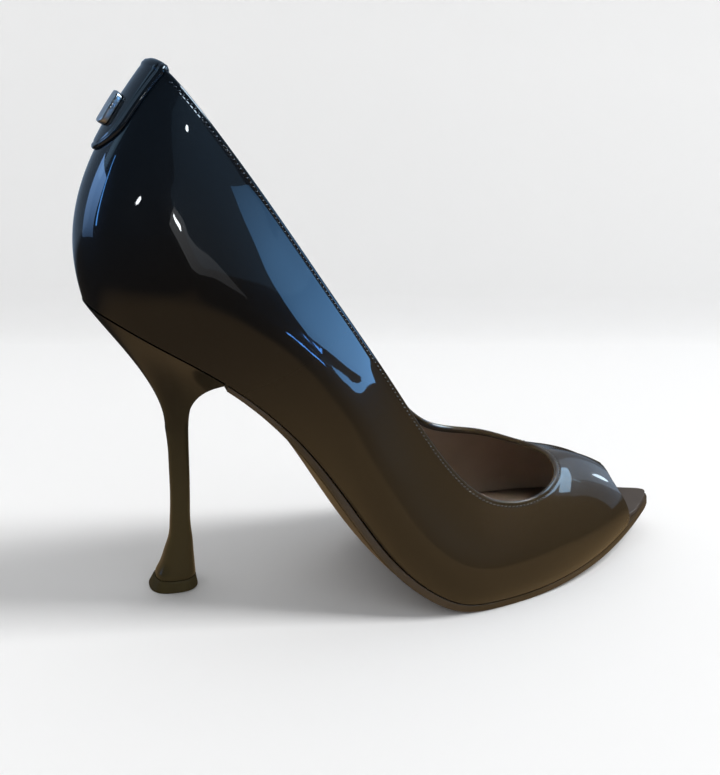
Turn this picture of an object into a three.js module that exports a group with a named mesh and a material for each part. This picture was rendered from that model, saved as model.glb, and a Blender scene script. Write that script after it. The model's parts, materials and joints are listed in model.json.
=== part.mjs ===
import * as THREE from 'three';

// Peep toe pump for the right foot, toe toward +X, lateral side toward -Y, up +Z.
// The origin is the middle of the heel's tread on the floor. All sizes are millimetres.

const SHOE_LENGTH = 226;
const BALL_WIDTH = 77;
const SEAT_HEIGHT = 104;
const COLLAR_HEIGHT = 176;
const UPPER_WALL = 1.6;
const JOINT_GAP = 0.3;
const OUTSOLE_THICKNESS = 2.8;
const OUTSOLE_BEVEL = 0.7;
const SHANK_THICKNESS = 1.5;
const SHANK_RUN = 45;
const ARCH_DOME = 2.6;
const ARCH_START = 28;
const ARCH_END = 100;
const INSOLE_THICKNESS = 1.6;
const INSOLE_SIDE_GAP = 0.4;
const INSOLE_TIP_MARGIN = 0.8;
const INSOLE_BEVEL = 0.5;
const HEEL_BREAST = 12.5;
const SOLE_END_RUN = 12;
const NECK_HEIGHT = 60;
const TREAD_LENGTH = 17.2;
const TOP_PIECE_THICKNESS = 4;
const TAB_THICKNESS = 1.0;
const TAB_BEVEL = 0.4;
const TAB_EDGE_GAP = 0.2;
const TAB_LENGTH = 30;
const TAB_WIDTH = 30;
const PLATE_THICKNESS = 1.8;
const PLATE_LENGTH = 10.5;
const PLATE_WIDTH = 10;
const PLATE_BEVEL = 0.6;
const PLATE_DROP = 12;

// Rows along the sole's centre line, back to toe, at the feather edge.
// along: share of the shoe's length; height: share of the seat's height.
const PROFILE = [
  { along: -0.137, height: 1.023 },
  { along: -0.097, height: 0.990 },
  { along: -0.040, height: 0.922 },
  { along: 0.027, height: 0.837 },
  { along: 0.097, height: 0.729 },
  { along: 0.168, height: 0.583 },
  { along: 0.235, height: 0.397 },
  { along: 0.296, height: 0.217 },
  { along: 0.354, height: 0.102 },
  { along: 0.412, height: 0.041 },
  { along: 0.469, height: 0.030 },
  { along: 0.540, height: 0.029 },
  { along: 0.628, height: 0.043 },
  { along: 0.717, height: 0.070 },
  { along: 0.805, height: 0.104 },
  { along: 0.881, height: 0.135 },
];

// Rows around the shoe: toe tip, lateral side, back, medial side, and round to the toe again.
// footAlong, topAlong: shares of the shoe's length; footAcross, topAcross: shares of the ball width;
// topHeight: share of the collar's height; rise, drop: shares of the row's own foot to topline distance;
// riseLean: degrees from straight out to straight up; dropLean: degrees from straight down to straight out.
function row(footAlong, footAcross, topAlong, topAcross, topHeight, rise, riseLean, drop, dropLean) {
  return { footAlong, footAcross, topAlong, topAcross, topHeight, rise, riseLean, drop, dropLean };
}

const RING = [
  row(0.873, 0.055, 0.630, -0.026, 0.226, 0.131, 170, 0.434, 90), // toe tip
  row(0.836, -0.066, 0.627, -0.110, 0.224, 0.146, 118, 0.420, 82), // lateral toe
  row(0.786, -0.177, 0.616, -0.195, 0.218, 0.251, 80, 0.377, 72), // lateral foot of the peep
  row(0.708, -0.319, 0.593, -0.283, 0.214, 0.348, 72, 0.323, 55), // lateral vamp
  row(0.611, -0.442, 0.551, -0.369, 0.208, 0.421, 68, 0.280, 40), // lateral ball
  row(0.509, -0.522, 0.491, -0.408, 0.211, 0.449, 66, 0.281, 30), // lateral joint
  row(0.407, -0.548, 0.427, -0.405, 0.251, 0.436, 66, 0.267, 24), // lateral side
  row(0.310, -0.455, 0.356, -0.390, 0.352, 0.497, 62, 0.316, 20), // lateral waist
  row(0.212, -0.332, 0.277, -0.366, 0.495, 0.671, 66, 0.527, 14), // lateral arch
  row(0.115, -0.291, 0.197, -0.338, 0.635, 0.689, 72, 0.597, 10), // lateral quarter
  row(0.018, -0.281, 0.115, -0.292, 0.780, 0.560, 78, 0.522, 12), // lateral breast
  row(-0.064, -0.244, 0.033, -0.229, 0.918, 0.423, 82, 0.423, 18), // lateral counter
  row(-0.112, -0.142, -0.019, -0.138, 0.994, 0.380, 78, 0.353, 28), // lateral back
  row(-0.126, 0.000, -0.035, 0.000, 1.001, 0.381, 74, 0.381, 36), // back
  row(-0.112, 0.142, -0.015, 0.130, 0.986, 0.386, 78, 0.358, 28), // medial back
  row(-0.064, 0.239, 0.038, 0.226, 0.928, 0.410, 82, 0.410, 18), // medial counter
  row(0.013, 0.260, 0.115, 0.290, 0.807, 0.518, 80, 0.484, 12), // medial breast
  row(0.106, 0.227, 0.197, 0.332, 0.669, 0.614, 72, 0.532, 10), // medial quarter
  row(0.204, 0.201, 0.277, 0.357, 0.535, 0.584, 64, 0.459, 12), // medial arch
  row(0.301, 0.266, 0.356, 0.377, 0.398, 0.471, 60, 0.314, 16), // medial waist
  row(0.398, 0.370, 0.425, 0.395, 0.285, 0.442, 60, 0.265, 24), // medial side
  row(0.496, 0.448, 0.485, 0.384, 0.234, 0.440, 62, 0.259, 34), // medial joint
  row(0.597, 0.468, 0.551, 0.318, 0.228, 0.380, 64, 0.253, 46), // medial ball
  row(0.690, 0.409, 0.595, 0.205, 0.225, 0.352, 70, 0.305, 60), // medial vamp
  row(0.786, 0.275, 0.621, 0.101, 0.224, 0.263, 84, 0.425, 79), // medial foot of the peep
  row(0.842, 0.151, 0.628, 0.034, 0.225, 0.143, 122, 0.428, 86), // medial toe
];

// Rows up the heel's stem. height: share of the neck's height; the others: shares of the tread's length.
const STEM = [
  { height: 0.000, back: -0.523, front: 0.477, half: 0.419 },
  { height: 0.070, back: -0.407, front: 0.430, half: 0.355 },
  { height: 0.158, back: -0.273, front: 0.401, half: 0.291 },
  { height: 0.238, back: -0.192, front: 0.378, half: 0.250 },
  { height: 0.317, back: -0.116, front: 0.355, half: 0.215 },
  { height: 0.417, back: -0.093, front: 0.314, half: 0.192 },
  { height: 0.567, back: -0.087, front: 0.302, half: 0.186 },
  { height: 0.750, back: -0.110, front: 0.285, half: 0.192 },
  { height: 0.883, back: -0.134, front: 0.267, half: 0.203 },
  { height: 1.000, back: -0.186, front: 0.256, half: 0.227 },
];

// Rows down the tab. down: share of the tab's length; half: share of the tab's width.
const TAB = [
  { down: 0.00, half: 0.38 },
  { down: 0.25, half: 0.39 },
  { down: 0.50, half: 0.39 },
  { down: 0.75, half: 0.38 },
  { down: 1.00, half: 0.36 },
];

const PEEP_HALF_SPAN = 2.0;
const PEEP_TOP = 0.6;
const PEEP_ROUNDNESS = 0.8;

// Shapes as plain shares: how square the stem is, where the tab starts to round off, how square the
// plate is, how much of a slab's half width its bevel may take, and the stations where the insole's
// edge leaves the upper for the peep.
const STEM_SQUARENESS = 2.6;
const TAB_ROUND_FROM = 0.62;
const PLATE_SQUARENESS = 8;
const PLATE_CORNER = 0.35;
const EDGE_SHARE = 0.3;
const PEEP_EDGE_START = 1.2;
const PEEP_EDGE_RUN = 0.6;

// The heel's flare at its front and at its back: rise of the neck's handle, sweep and drop of the seat's.
const FLARE_FRONT = { rise: 0.62, sweep: 0.42, drop: 0.16 };
const FLARE_BACK = { rise: 0.34, sweep: 0.29, drop: 0.25 };
const BREAST_CORNER = 50;

const RING_STEPS = 78;
const PEEP_STEPS = 18;
const WALL_ROWS = 12;
const SOLE_STEPS = 40;
const SEAT_STEPS = 14;
const BREAST_STEPS = 8;

const RADIAN = Math.PI / 180;
const UP = new THREE.Vector3(0, 0, 1);

// Slopes of the smooth curve through evenly numbered values, settled by repeated averaging.
function settleSlopes(values, closed) {
  const last = values.length - 1;
  let slopes = values.map(() => 0);
  for (let pass = 0; pass < 50; pass += 1) {
    slopes = slopes.map((_, i) => {
      if (!closed && i === 0) return (3 * (values[1] - values[0]) - slopes[1]) / 2;
      if (!closed && i === last) return (3 * (values[last] - values[last - 1]) - slopes[last - 1]) / 2;
      const before = i === 0 ? last : i - 1;
      const after = i === last ? 0 : i + 1;
      return (3 * (values[after] - values[before]) - slopes[before] - slopes[after]) / 4;
    });
  }
  return slopes;
}

// A table's smooth reader: row number in, one value for each named column out.
function tableCurve(rows, closed = false) {
  const names = Object.keys(rows[0]);
  const columns = names.map((name) => {
    const values = rows.map((row) => row[name]);
    return { name, values, slopes: settleSlopes(values, closed) };
  });
  const count = rows.length;
  return (position) => {
    const held = Math.min(Math.max(position, 0), count - 1);
    const wrapped = closed ? ((position % count) + count) % count : held;
    const i = Math.min(Math.floor(wrapped), closed ? count - 1 : count - 2);
    const j = (i + 1) % count;
    const t = wrapped - i;
    const result = {};
    for (const { name, values, slopes } of columns) {
      result[name] = (1 + 2 * t) * (1 - t) ** 2 * values[i] + t * (1 - t) ** 2 * slopes[i]
        + t * t * (3 - 2 * t) * values[j] + t * t * (t - 1) * slopes[j];
    }
    return result;
  };
}

// Halving search for the argument at which a steadily running function reaches a value.
function seek(reach, value, low, high) {
  const rising = reach(high) > reach(low);
  let a = low;
  let b = high;
  for (let step = 0; step < 42; step += 1) {
    const middle = (a + b) / 2;
    if ((reach(middle) < value) === rising) a = middle;
    else b = middle;
  }
  return (a + b) / 2;
}

// Golden search for the argument that makes a single-humped function largest.
function seekPeak(measure, low, high) {
  let a = low;
  let b = high;
  for (let step = 0; step < 60; step += 1) {
    const c = a + (b - a) * 0.382;
    const d = a + (b - a) * 0.618;
    if (measure(c) < measure(d)) a = c;
    else b = d;
  }
  return (a + b) / 2;
}

const profileAt = tableCurve(PROFILE);
const profileReach = (position) => profileAt(position).along * SHOE_LENGTH;

// Height and upward normal of the sole's centre line over one point along the shoe.
function soleLine(along) {
  const heightAt = (x) => {
    const position = seek(profileReach, x, 0, PROFILE.length - 1);
    return profileAt(position).height * SEAT_HEIGHT;
  };
  const height = heightAt(along);
  const slope = (heightAt(along + 0.05) - heightAt(along - 0.05)) / 0.1;
  const length = Math.hypot(slope, 1);
  return { height, outAlong: -slope / length, outUp: 1 / length };
}

const ringAt = tableCurve(RING, true);
const ROW_COUNT = RING.length;

// Plan position of the feather edge and its outward direction.
function footPlan(station) {
  const row = ringAt(station);
  const before = ringAt(station - 0.01);
  const after = ringAt(station + 0.01);
  const runAlong = (after.footAlong - before.footAlong) * SHOE_LENGTH;
  const runAcross = (after.footAcross - before.footAcross) * BALL_WIDTH;
  const out = new THREE.Vector3(-runAcross, runAlong, 0).normalize();
  return { x: row.footAlong * SHOE_LENGTH, y: row.footAcross * BALL_WIDTH, out };
}

function topPlan(station) {
  const row = ringAt(station);
  const before = ringAt(station - 0.01);
  const after = ringAt(station + 0.01);
  const runAlong = (after.topAlong - before.topAlong) * SHOE_LENGTH;
  const runAcross = (after.topAcross - before.topAcross) * BALL_WIDTH;
  const out = new THREE.Vector3(-runAcross, runAlong, 0).normalize();
  const point = new THREE.Vector3(
    row.topAlong * SHOE_LENGTH,
    row.topAcross * BALL_WIDTH,
    row.topHeight * COLLAR_HEIGHT,
  );
  return { point, out };
}

// One rib of the upper's outer face: a curve with two handles from the feather edge to the topline.
function ribHandles(station) {
  const row = ringAt(station);
  const plan = footPlan(station);
  const foot = new THREE.Vector3(plan.x, plan.y, soleLine(plan.x).height);
  const top = topPlan(station);
  const span = foot.distanceTo(top.point);
  const lean = row.riseLean * RADIAN;
  const spread = row.dropLean * RADIAN;
  const low = foot.clone()
    .addScaledVector(plan.out, Math.cos(lean) * row.rise * span)
    .addScaledVector(UP, Math.sin(lean) * row.rise * span);
  const high = top.point.clone()
    .addScaledVector(top.out, Math.sin(spread) * row.drop * span)
    .addScaledVector(UP, -Math.cos(spread) * row.drop * span);
  return [foot, low, high, top.point];
}

const ribStore = new Map();

function ribPoint(station, share) {
  const key = station.toFixed(6);
  if (!ribStore.has(key)) ribStore.set(key, ribHandles(station));
  const [foot, low, high, top] = ribStore.get(key);
  const rest = 1 - share;
  return new THREE.Vector3()
    .addScaledVector(foot, rest ** 3)
    .addScaledVector(low, 3 * share * rest ** 2)
    .addScaledVector(high, 3 * share ** 2 * rest)
    .addScaledVector(top, share ** 3);
}

// A point of the upper's outer face moved out along the face's own normal.
function skin(station, share, offset) {
  const point = ribPoint(station, share);
  if (offset === 0) return point;
  const step = 0.002;
  const around = ribPoint(station + step, share).sub(ribPoint(station - step, share));
  const up = ribPoint(station, share + step).sub(ribPoint(station, share - step));
  return point.addScaledVector(up.cross(around).normalize(), offset);
}

// Share of the rib at which the upper begins: the feather edge, lifted over the peep.
function peepShare(station) {
  const wrapped = station > ROW_COUNT / 2 ? station - ROW_COUNT : station;
  const across = wrapped / PEEP_HALF_SPAN;
  if (Math.abs(across) >= 1) return 0;
  return PEEP_TOP * (1 - across ** 2) ** (PEEP_ROUNDNESS / 2);
}

// Triangles of a grid of points, in rows that may each close on themselves.
function gridFaces(rows, columns, closedRows, closedColumns, flip = false) {
  const faces = [];
  const rowEnd = closedRows ? rows : rows - 1;
  const columnEnd = closedColumns ? columns : columns - 1;
  for (let r = 0; r < rowEnd; r += 1) {
    for (let c = 0; c < columnEnd; c += 1) {
      const a = r * columns + c;
      const b = r * columns + ((c + 1) % columns);
      const d = ((r + 1) % rows) * columns + c;
      const e = ((r + 1) % rows) * columns + ((c + 1) % columns);
      if (flip) faces.push([a, d, b], [b, d, e]);
      else faces.push([a, b, d], [b, e, d]);
    }
  }
  return faces;
}

// One closed body: equal points are joined, triangles without area dropped and faces turned outward.
function solid(name, points, faces, material) {
  const keys = new Map();
  const kept = [];
  const index = points.map((point) => {
    const key = [point.x, point.y, point.z].map((value) => Math.round(value * 1000)).join(' ');
    if (!keys.has(key)) {
      keys.set(key, kept.length);
      kept.push(point);
    }
    return keys.get(key);
  });
  let triangles = faces.map((face) => face.map((corner) => index[corner]));
  triangles = triangles.filter(([a, b, c]) => a !== b && b !== c && a !== c);
  let volume = 0;
  for (const [a, b, c] of triangles) {
    volume += kept[a].dot(kept[b].clone().cross(kept[c])) / 6;
  }
  if (volume < 0) triangles = triangles.map(([a, b, c]) => [a, c, b]);
  const geometry = new THREE.BufferGeometry();
  const flat = kept.flatMap((point) => [point.x, point.y, point.z]);
  geometry.setAttribute('position', new THREE.Float32BufferAttribute(flat, 3));
  geometry.setIndex(triangles.flat());
  geometry.computeVertexNormals();
  const mesh = new THREE.Mesh(geometry, material);
  mesh.name = name;
  return mesh;
}

function finish(color, roughness, metalness = 0) {
  return new THREE.MeshStandardMaterial({ color, roughness, metalness });
}

// The upper: outer face up, topline across, inner face down, feather edge across.
function makeUpper() {
  const stations = [];
  for (let i = 0; i < PEEP_STEPS; i += 1) {
    const run = (2 * i) / PEEP_STEPS - 1;
    stations.push(PEEP_HALF_SPAN * Math.sign(run) * (1 - (1 - Math.abs(run)) ** 2.5));
  }
  const around = ROW_COUNT - 2 * PEEP_HALF_SPAN;
  for (let i = 0; i < RING_STEPS; i += 1) {
    stations.push(PEEP_HALF_SPAN + (around * i) / RING_STEPS);
  }
  const points = [];
  for (const station of stations) {
    const start = peepShare((station + ROW_COUNT) % ROW_COUNT);
    const loop = [];
    for (let k = 0; k <= WALL_ROWS; k += 1) {
      loop.push(skin(station, start + ((1 - start) * k) / WALL_ROWS, 0));
    }
    for (let k = WALL_ROWS; k >= 0; k -= 1) {
      loop.push(skin(station, start + ((1 - start) * k) / WALL_ROWS, -UPPER_WALL));
    }
    const level = Math.max(0, 1 - start / 0.1);
    const plan = footPlan(station);
    const inner = new THREE.Vector3(plan.x, plan.y, 0).addScaledVector(plan.out, -UPPER_WALL);
    inner.z = soleLine(inner.x).height;
    loop[loop.length - 1].lerp(inner, level);
    points.push(...loop);
  }
  const columns = 2 * (WALL_ROWS + 1);
  const faces = gridFaces(stations.length, columns, true, true);
  return solid('upper', points, faces, finish(0x17171c, 0.18));
}

// Both ends of the feather edge's plan, moved in by a distance that may change with the station.
function planEnds(insetAt) {
  const alongAt = (station) => {
    const plan = footPlan(station);
    return plan.x - plan.out.x * insetAt(station);
  };
  const acrossAt = (station) => {
    const plan = footPlan(station);
    return plan.y - plan.out.y * insetAt(station);
  };
  const tip = seekPeak(alongAt, -1, 1);
  const back = seekPeak((station) => -alongAt(station), ROW_COUNT / 2 - 1.5, ROW_COUNT / 2 + 1.5);
  const sides = (along) => {
    const lateral = seek(alongAt, along, tip, back);
    const medial = seek(alongAt, along, back, tip + ROW_COUNT);
    return { lateral: acrossAt(lateral), medial: acrossAt(medial) };
  };
  return { tip: alongAt(tip), back: alongAt(back), sides };
}

// A slab that follows the sole's centre line. A corner's share and inset give its place across,
// its depth the part of the thickness below the surface and its dome its part in the arch's fullness.
function makeSlab(name, { corners, surface, insetAt, thicknessAt, domeAt, start, floor, material }) {
  const outline = planEnds(insetAt);
  const from = start === null ? outline.back : start;
  const points = [];
  const columns = 2 * corners.length;
  for (let i = 0; i <= SOLE_STEPS; i += 1) {
    const turn = start === null
      ? (1 - Math.cos((Math.PI * i) / SOLE_STEPS)) / 2
      : Math.sin((Math.PI / 2) * (i / SOLE_STEPS));
    const along = from + (outline.tip - from) * turn;
    const line = soleLine(along);
    const side = outline.sides(along);
    const middle = (side.lateral + side.medial) / 2;
    const half = Math.max((side.medial - side.lateral) / 2, 0);
    const square = start === null ? 0 : 1 - smoothStep((along - from) / SOLE_END_RUN);
    const place = ({ share, inset, depth, dome }, direction) => {
      const reach = half * share - Math.min(inset, half * EDGE_SHARE);
      const out = surface - depth * thicknessAt(along) - dome * domeAt(along);
      const shift = line.outAlong * out * (1 - square);
      const climb = out * (line.outUp * (1 - square) + square / line.outUp);
      const height = Math.max(line.height + climb, floor);
      return new THREE.Vector3(along + shift, middle + direction * reach, height);
    };
    for (const corner of corners) points.push(place(corner, 1));
    for (const corner of [...corners].reverse()) points.push(place(corner, -1));
  }
  const faces = gridFaces(SOLE_STEPS + 1, columns, false, true);
  if (start !== null) {
    const apex = corners.length - 1;
    for (let c = 1; c < columns - 1; c += 1) {
      faces.push([apex, (apex + c + 1) % columns, (apex + c) % columns]);
    }
  }
  return solid(name, points, faces, material);
}

function mix(from, to, share) {
  return from + (to - from) * share;
}

function smoothStep(value) {
  const t = Math.min(Math.max(value, 0), 1);
  return t * t * (3 - 2 * t);
}

function makeInsole() {
  const inside = UPPER_WALL + INSOLE_SIDE_GAP;
  const insetAt = (station) => {
    const wrapped = ((station % ROW_COUNT) + ROW_COUNT) % ROW_COUNT;
    const away = Math.min(wrapped, ROW_COUNT - wrapped);
    return mix(INSOLE_TIP_MARGIN, inside, smoothStep((away - PEEP_EDGE_START) / PEEP_EDGE_RUN));
  };
  return makeSlab('insole', {
    corners: [
      { share: 1, inset: 0, depth: 1, dome: 0 },
      { share: 1, inset: 0, depth: 0.3, dome: 0 },
      { share: 1, inset: INSOLE_BEVEL, depth: 0, dome: 0 },
    ],
    surface: INSOLE_THICKNESS,
    insetAt,
    thicknessAt: () => INSOLE_THICKNESS,
    domeAt: () => 0,
    start: null,
    floor: 0,
    material: finish(0x3a2e25, 0.55),
  });
}

function makeOutsole() {
  const start = HEEL_BREAST + JOINT_GAP;
  const thicknessAt = (along) => {
    const run = smoothStep((along - start) / SHANK_RUN);
    return SHANK_THICKNESS + (OUTSOLE_THICKNESS - SHANK_THICKNESS) * run;
  };
  const domeAt = (along) => {
    const run = (along - ARCH_START) / (ARCH_END - ARCH_START);
    return run <= 0 || run >= 1 ? 0 : ARCH_DOME * Math.sin(Math.PI * run);
  };
  return makeSlab('outsole', {
    corners: [
      { share: 0, inset: 0, depth: 1, dome: 1 },
      { share: 0.5, inset: 0, depth: 1, dome: 0.75 },
      { share: 1, inset: OUTSOLE_BEVEL, depth: 1, dome: 0 },
      { share: 1, inset: 0, depth: 0.75, dome: 0 },
      { share: 1, inset: 0, depth: 0, dome: 0 },
    ],
    surface: -JOINT_GAP,
    insetAt: () => 0,
    thicknessAt,
    domeAt,
    start,
    floor: 0,
    material: finish(0x4a3c30, 0.5),
  });
}

const stemAt = tableCurve(STEM);
const stemReach = (position) => stemAt(position).height * NECK_HEIGHT;

// One level outline of the stem: a rounded square between its back and front.
function stemLoop(height, angles) {
  const row = stemAt(seek(stemReach, height, 0, STEM.length - 1));
  const middle = ((row.front + row.back) / 2) * TREAD_LENGTH;
  const halfAlong = ((row.front - row.back) / 2) * TREAD_LENGTH;
  const halfAcross = row.half * TREAD_LENGTH;
  const power = 2 / STEM_SQUARENESS;
  return angles.map((angle) => {
    const cos = Math.cos(angle);
    const sin = Math.sin(angle);
    return new THREE.Vector3(
      middle + halfAlong * Math.sign(cos) * Math.abs(cos) ** power,
      halfAcross * Math.sign(sin) * Math.abs(sin) ** power,
      height,
    );
  });
}

// The seat's outline under the feather edge with the straight breast in front, and its angles at the stem.
function seatLoop() {
  const outline = planEnds(() => 0);
  const front = HEEL_BREAST;
  const corner = BREAST_CORNER * RADIAN;
  const points = [];
  const angles = [];
  const level = (x) => {
    const line = soleLine(x);
    return new THREE.Vector3(x - line.outAlong * JOINT_GAP, 0, line.height - line.outUp * JOINT_GAP);
  };
  const add = (x, y, angle) => {
    const point = level(x);
    point.y = y;
    points.push(point);
    angles.push(angle);
  };
  const alongAt = (i) => front + (outline.back - front) * Math.sin((Math.PI / 2) * (i / SEAT_STEPS));
  const edge = outline.sides(front);
  for (let i = 0; i < BREAST_STEPS; i += 1) {
    const t = i / BREAST_STEPS;
    add(front, edge.lateral + (edge.medial - edge.lateral) * t, -corner + 2 * corner * t);
  }
  for (let i = 0; i <= SEAT_STEPS; i += 1) {
    add(alongAt(i), outline.sides(alongAt(i)).medial, corner + ((Math.PI - corner) * i) / SEAT_STEPS);
  }
  for (let i = SEAT_STEPS - 1; i > 0; i -= 1) {
    add(alongAt(i), outline.sides(alongAt(i)).lateral, -corner - ((Math.PI - corner) * i) / SEAT_STEPS);
  }
  return { points, angles };
}

// The heel: level stem outlines, then a flare from the neck to the seat.
function makeHeel() {
  const seat = seatLoop();
  const count = seat.points.length;
  const points = [];
  const foot = TOP_PIECE_THICKNESS + JOINT_GAP;
  const heights = [0, 0.06, 0.13, 0.2, 0.28, 0.38, 0.55, 0.75, 1];
  for (const share of heights) {
    points.push(...stemLoop(foot + (NECK_HEIGHT - foot) * share, seat.angles));
  }
  const neck = stemLoop(NECK_HEIGHT, seat.angles);
  const flareSteps = 12;
  for (let k = 1; k <= flareSteps; k += 1) {
    const t = k / flareSteps;
    seat.points.forEach((target, i) => {
      const from = neck[i];
      const backward = (1 - Math.cos(seat.angles[i])) / 2;
      const climb = target.z - from.z;
      const inward = new THREE.Vector3(from.x - target.x, from.y - target.y, 0);
      const rise = mix(FLARE_FRONT.rise, FLARE_BACK.rise, backward);
      const sweep = mix(FLARE_FRONT.sweep, FLARE_BACK.sweep, backward);
      const drop = mix(FLARE_FRONT.drop, FLARE_BACK.drop, backward);
      const low = from.clone().addScaledVector(UP, climb * rise);
      const high = target.clone().addScaledVector(inward, sweep).addScaledVector(UP, -climb * drop);
      const rest = 1 - t;
      points.push(new THREE.Vector3()
        .addScaledVector(from, rest ** 3)
        .addScaledVector(low, 3 * t * rest ** 2)
        .addScaledVector(high, 3 * t ** 2 * rest)
        .addScaledVector(target, t ** 3));
    });
  }
  const rows = points.length / count;
  const faces = gridFaces(rows, count, false, true);
  for (let c = 1; c < count - 1; c += 1) faces.push([0, c + 1, c]);
  const top = (rows - 1) * count;
  const medial = (i) => top + BREAST_STEPS + i;
  const lateral = (i) => top + ((count - i) % count);
  for (let i = 0; i < BREAST_STEPS; i += 1) {
    faces.push([lateral(1), top + i, top + i + 1]);
  }
  faces.push([lateral(1), medial(0), medial(1)]);
  for (let i = 1; i < SEAT_STEPS; i += 1) {
    faces.push([lateral(i), medial(i), medial(i + 1)]);
    if (i < SEAT_STEPS - 1) faces.push([lateral(i), medial(i + 1), lateral(i + 1)]);
  }
  return solid('heel', points, faces, finish(0x2a261f, 0.22));
}

function makeTopPiece() {
  const count = 36;
  const angles = Array.from({ length: count }, (_, i) => (2 * Math.PI * i) / count);
  const points = [];
  const rows = 4;
  for (let k = 0; k < rows; k += 1) {
    points.push(...stemLoop((TOP_PIECE_THICKNESS * k) / (rows - 1), angles));
  }
  const faces = gridFaces(rows, count, false, true);
  const top = (rows - 1) * count;
  for (let c = 1; c < count - 1; c += 1) {
    faces.push([0, c + 1, c]);
    faces.push([top, top + c, top + c + 1]);
  }
  return solid('top_piece', points, faces, finish(0x1d1b1a, 0.6));
}

// Share of the back rib at a distance below the topline.
function backShare(distance) {
  const middle = ROW_COUNT / 2;
  let share = 1;
  let run = 0;
  let last = ribPoint(middle, 1);
  while (run < distance && share > 0.02) {
    share -= 0.005;
    const next = ribPoint(middle, share);
    run += next.distanceTo(last);
    last = next;
  }
  return share;
}

// Stations per millimetre around the back at one share of the ribs.
function backPace(share) {
  const middle = ROW_COUNT / 2;
  return 0.2 / ribPoint(middle - 0.1, share).distanceTo(ribPoint(middle + 0.1, share));
}

// A piece laid over the upper's back: distance down from the topline and half width in, solid out.
function makeOverlay(name, downAt, halfAt, inner, outer, bevel, rows, columns, material) {
  const middle = ROW_COUNT / 2;
  const points = [];
  for (let r = 0; r <= rows; r += 1) {
    const share = backShare(downAt(r / rows));
    const pace = backPace(share);
    const half = halfAt(r / rows);
    const loop = [];
    for (let c = 0; c <= columns; c += 1) {
      const across = (2 * c) / columns - 1;
      loop.push(skin(middle + across * half * pace, share, inner));
    }
    for (let c = columns; c >= 0; c -= 1) {
      const across = (2 * c) / columns - 1;
      const edge = Math.max(half - bevel, 0);
      loop.push(skin(middle + across * edge * pace, share, outer));
    }
    points.push(...loop);
  }
  const loopCount = 2 * (columns + 1);
  const faces = gridFaces(rows + 1, loopCount, false, true);
  for (const row of [0, rows]) {
    for (let c = 0; c < columns; c += 1) {
      const a = row * loopCount + c;
      const b = row * loopCount + c + 1;
      const d = row * loopCount + loopCount - 1 - c;
      const e = row * loopCount + loopCount - 2 - c;
      if (row === 0) faces.push([a, d, b], [b, d, e]);
      else faces.push([a, b, d], [b, e, d]);
    }
  }
  return solid(name, points, faces, material);
}

const tabAt = tableCurve(TAB);

function makeTab() {
  const downAt = (t) => {
    const turn = Math.sin((Math.PI / 2) * t);
    return TAB_EDGE_GAP + TAB_LENGTH * turn;
  };
  const halfAt = (t) => {
    const down = Math.sin((Math.PI / 2) * t);
    const row = tabAt(seek((p) => tabAt(p).down, down, 0, TAB.length - 1));
    const closing = Math.max(1 - ((down - TAB_ROUND_FROM) / (1 - TAB_ROUND_FROM)) ** 2, 0);
    return TAB_WIDTH * row.half * (down > TAB_ROUND_FROM ? Math.sqrt(closing) : 1);
  };
  const low = JOINT_GAP;
  const high = low + TAB_THICKNESS;
  return makeOverlay('heel_tab', downAt, halfAt, low, high, TAB_BEVEL, 16, 14, finish(0x1b1b21, 0.2));
}

function makePlate() {
  const downAt = (t) => PLATE_DROP + (PLATE_LENGTH * (1 - Math.cos(Math.PI * t))) / 2;
  const halfAt = (t) => {
    const along = Math.cos(Math.PI * t);
    return (PLATE_WIDTH / 2) * (1 - along ** PLATE_SQUARENESS) ** PLATE_CORNER;
  };
  const low = 2 * JOINT_GAP + TAB_THICKNESS;
  const high = low + PLATE_THICKNESS;
  return makeOverlay('tab_plate', downAt, halfAt, low, high, PLATE_BEVEL, 14, 8, finish(0x8a8a90, 0.2, 1));
}

const shoe = new THREE.Group();
shoe.name = 'peep_toe_pump';
shoe.add(makeUpper(), makeInsole(), makeOutsole(), makeHeel(), makeTopPiece(), makeTab(), makePlate());

export default shoe;
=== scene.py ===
import json
import math

import bpy
import numpy as np
from mathutils import Matrix

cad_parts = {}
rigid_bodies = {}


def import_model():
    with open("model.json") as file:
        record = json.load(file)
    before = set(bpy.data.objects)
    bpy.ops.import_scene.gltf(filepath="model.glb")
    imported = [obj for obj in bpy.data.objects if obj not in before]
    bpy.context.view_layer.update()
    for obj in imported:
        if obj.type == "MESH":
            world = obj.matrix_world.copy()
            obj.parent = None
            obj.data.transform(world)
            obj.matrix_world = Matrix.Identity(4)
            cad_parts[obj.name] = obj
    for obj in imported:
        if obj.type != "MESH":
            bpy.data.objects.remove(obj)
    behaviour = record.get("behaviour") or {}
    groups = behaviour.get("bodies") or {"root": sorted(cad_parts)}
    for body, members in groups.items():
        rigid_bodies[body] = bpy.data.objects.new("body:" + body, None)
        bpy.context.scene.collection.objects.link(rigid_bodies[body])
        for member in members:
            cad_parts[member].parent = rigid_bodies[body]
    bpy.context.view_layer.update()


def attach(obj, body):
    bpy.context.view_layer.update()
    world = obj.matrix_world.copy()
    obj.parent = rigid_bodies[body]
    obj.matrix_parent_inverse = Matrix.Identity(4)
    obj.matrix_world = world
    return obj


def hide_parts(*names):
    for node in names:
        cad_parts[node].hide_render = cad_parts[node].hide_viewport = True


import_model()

# Peep toe pump for the right foot. Shapes are worked out in millimetres, in the solids' frame:
# toe toward +X, lateral side toward -Y, origin in the middle of the heel's tread.

shoe = {
    "length": 226.0, "ballWidth": 77.0, "seatHeight": 104.0, "collarHeight": 176.0,
    "wall": 1.6, "gap": 0.3, "peepHalfSpan": 2.0, "peepTop": 0.6, "peepRoundness": 0.8,
}

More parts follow.
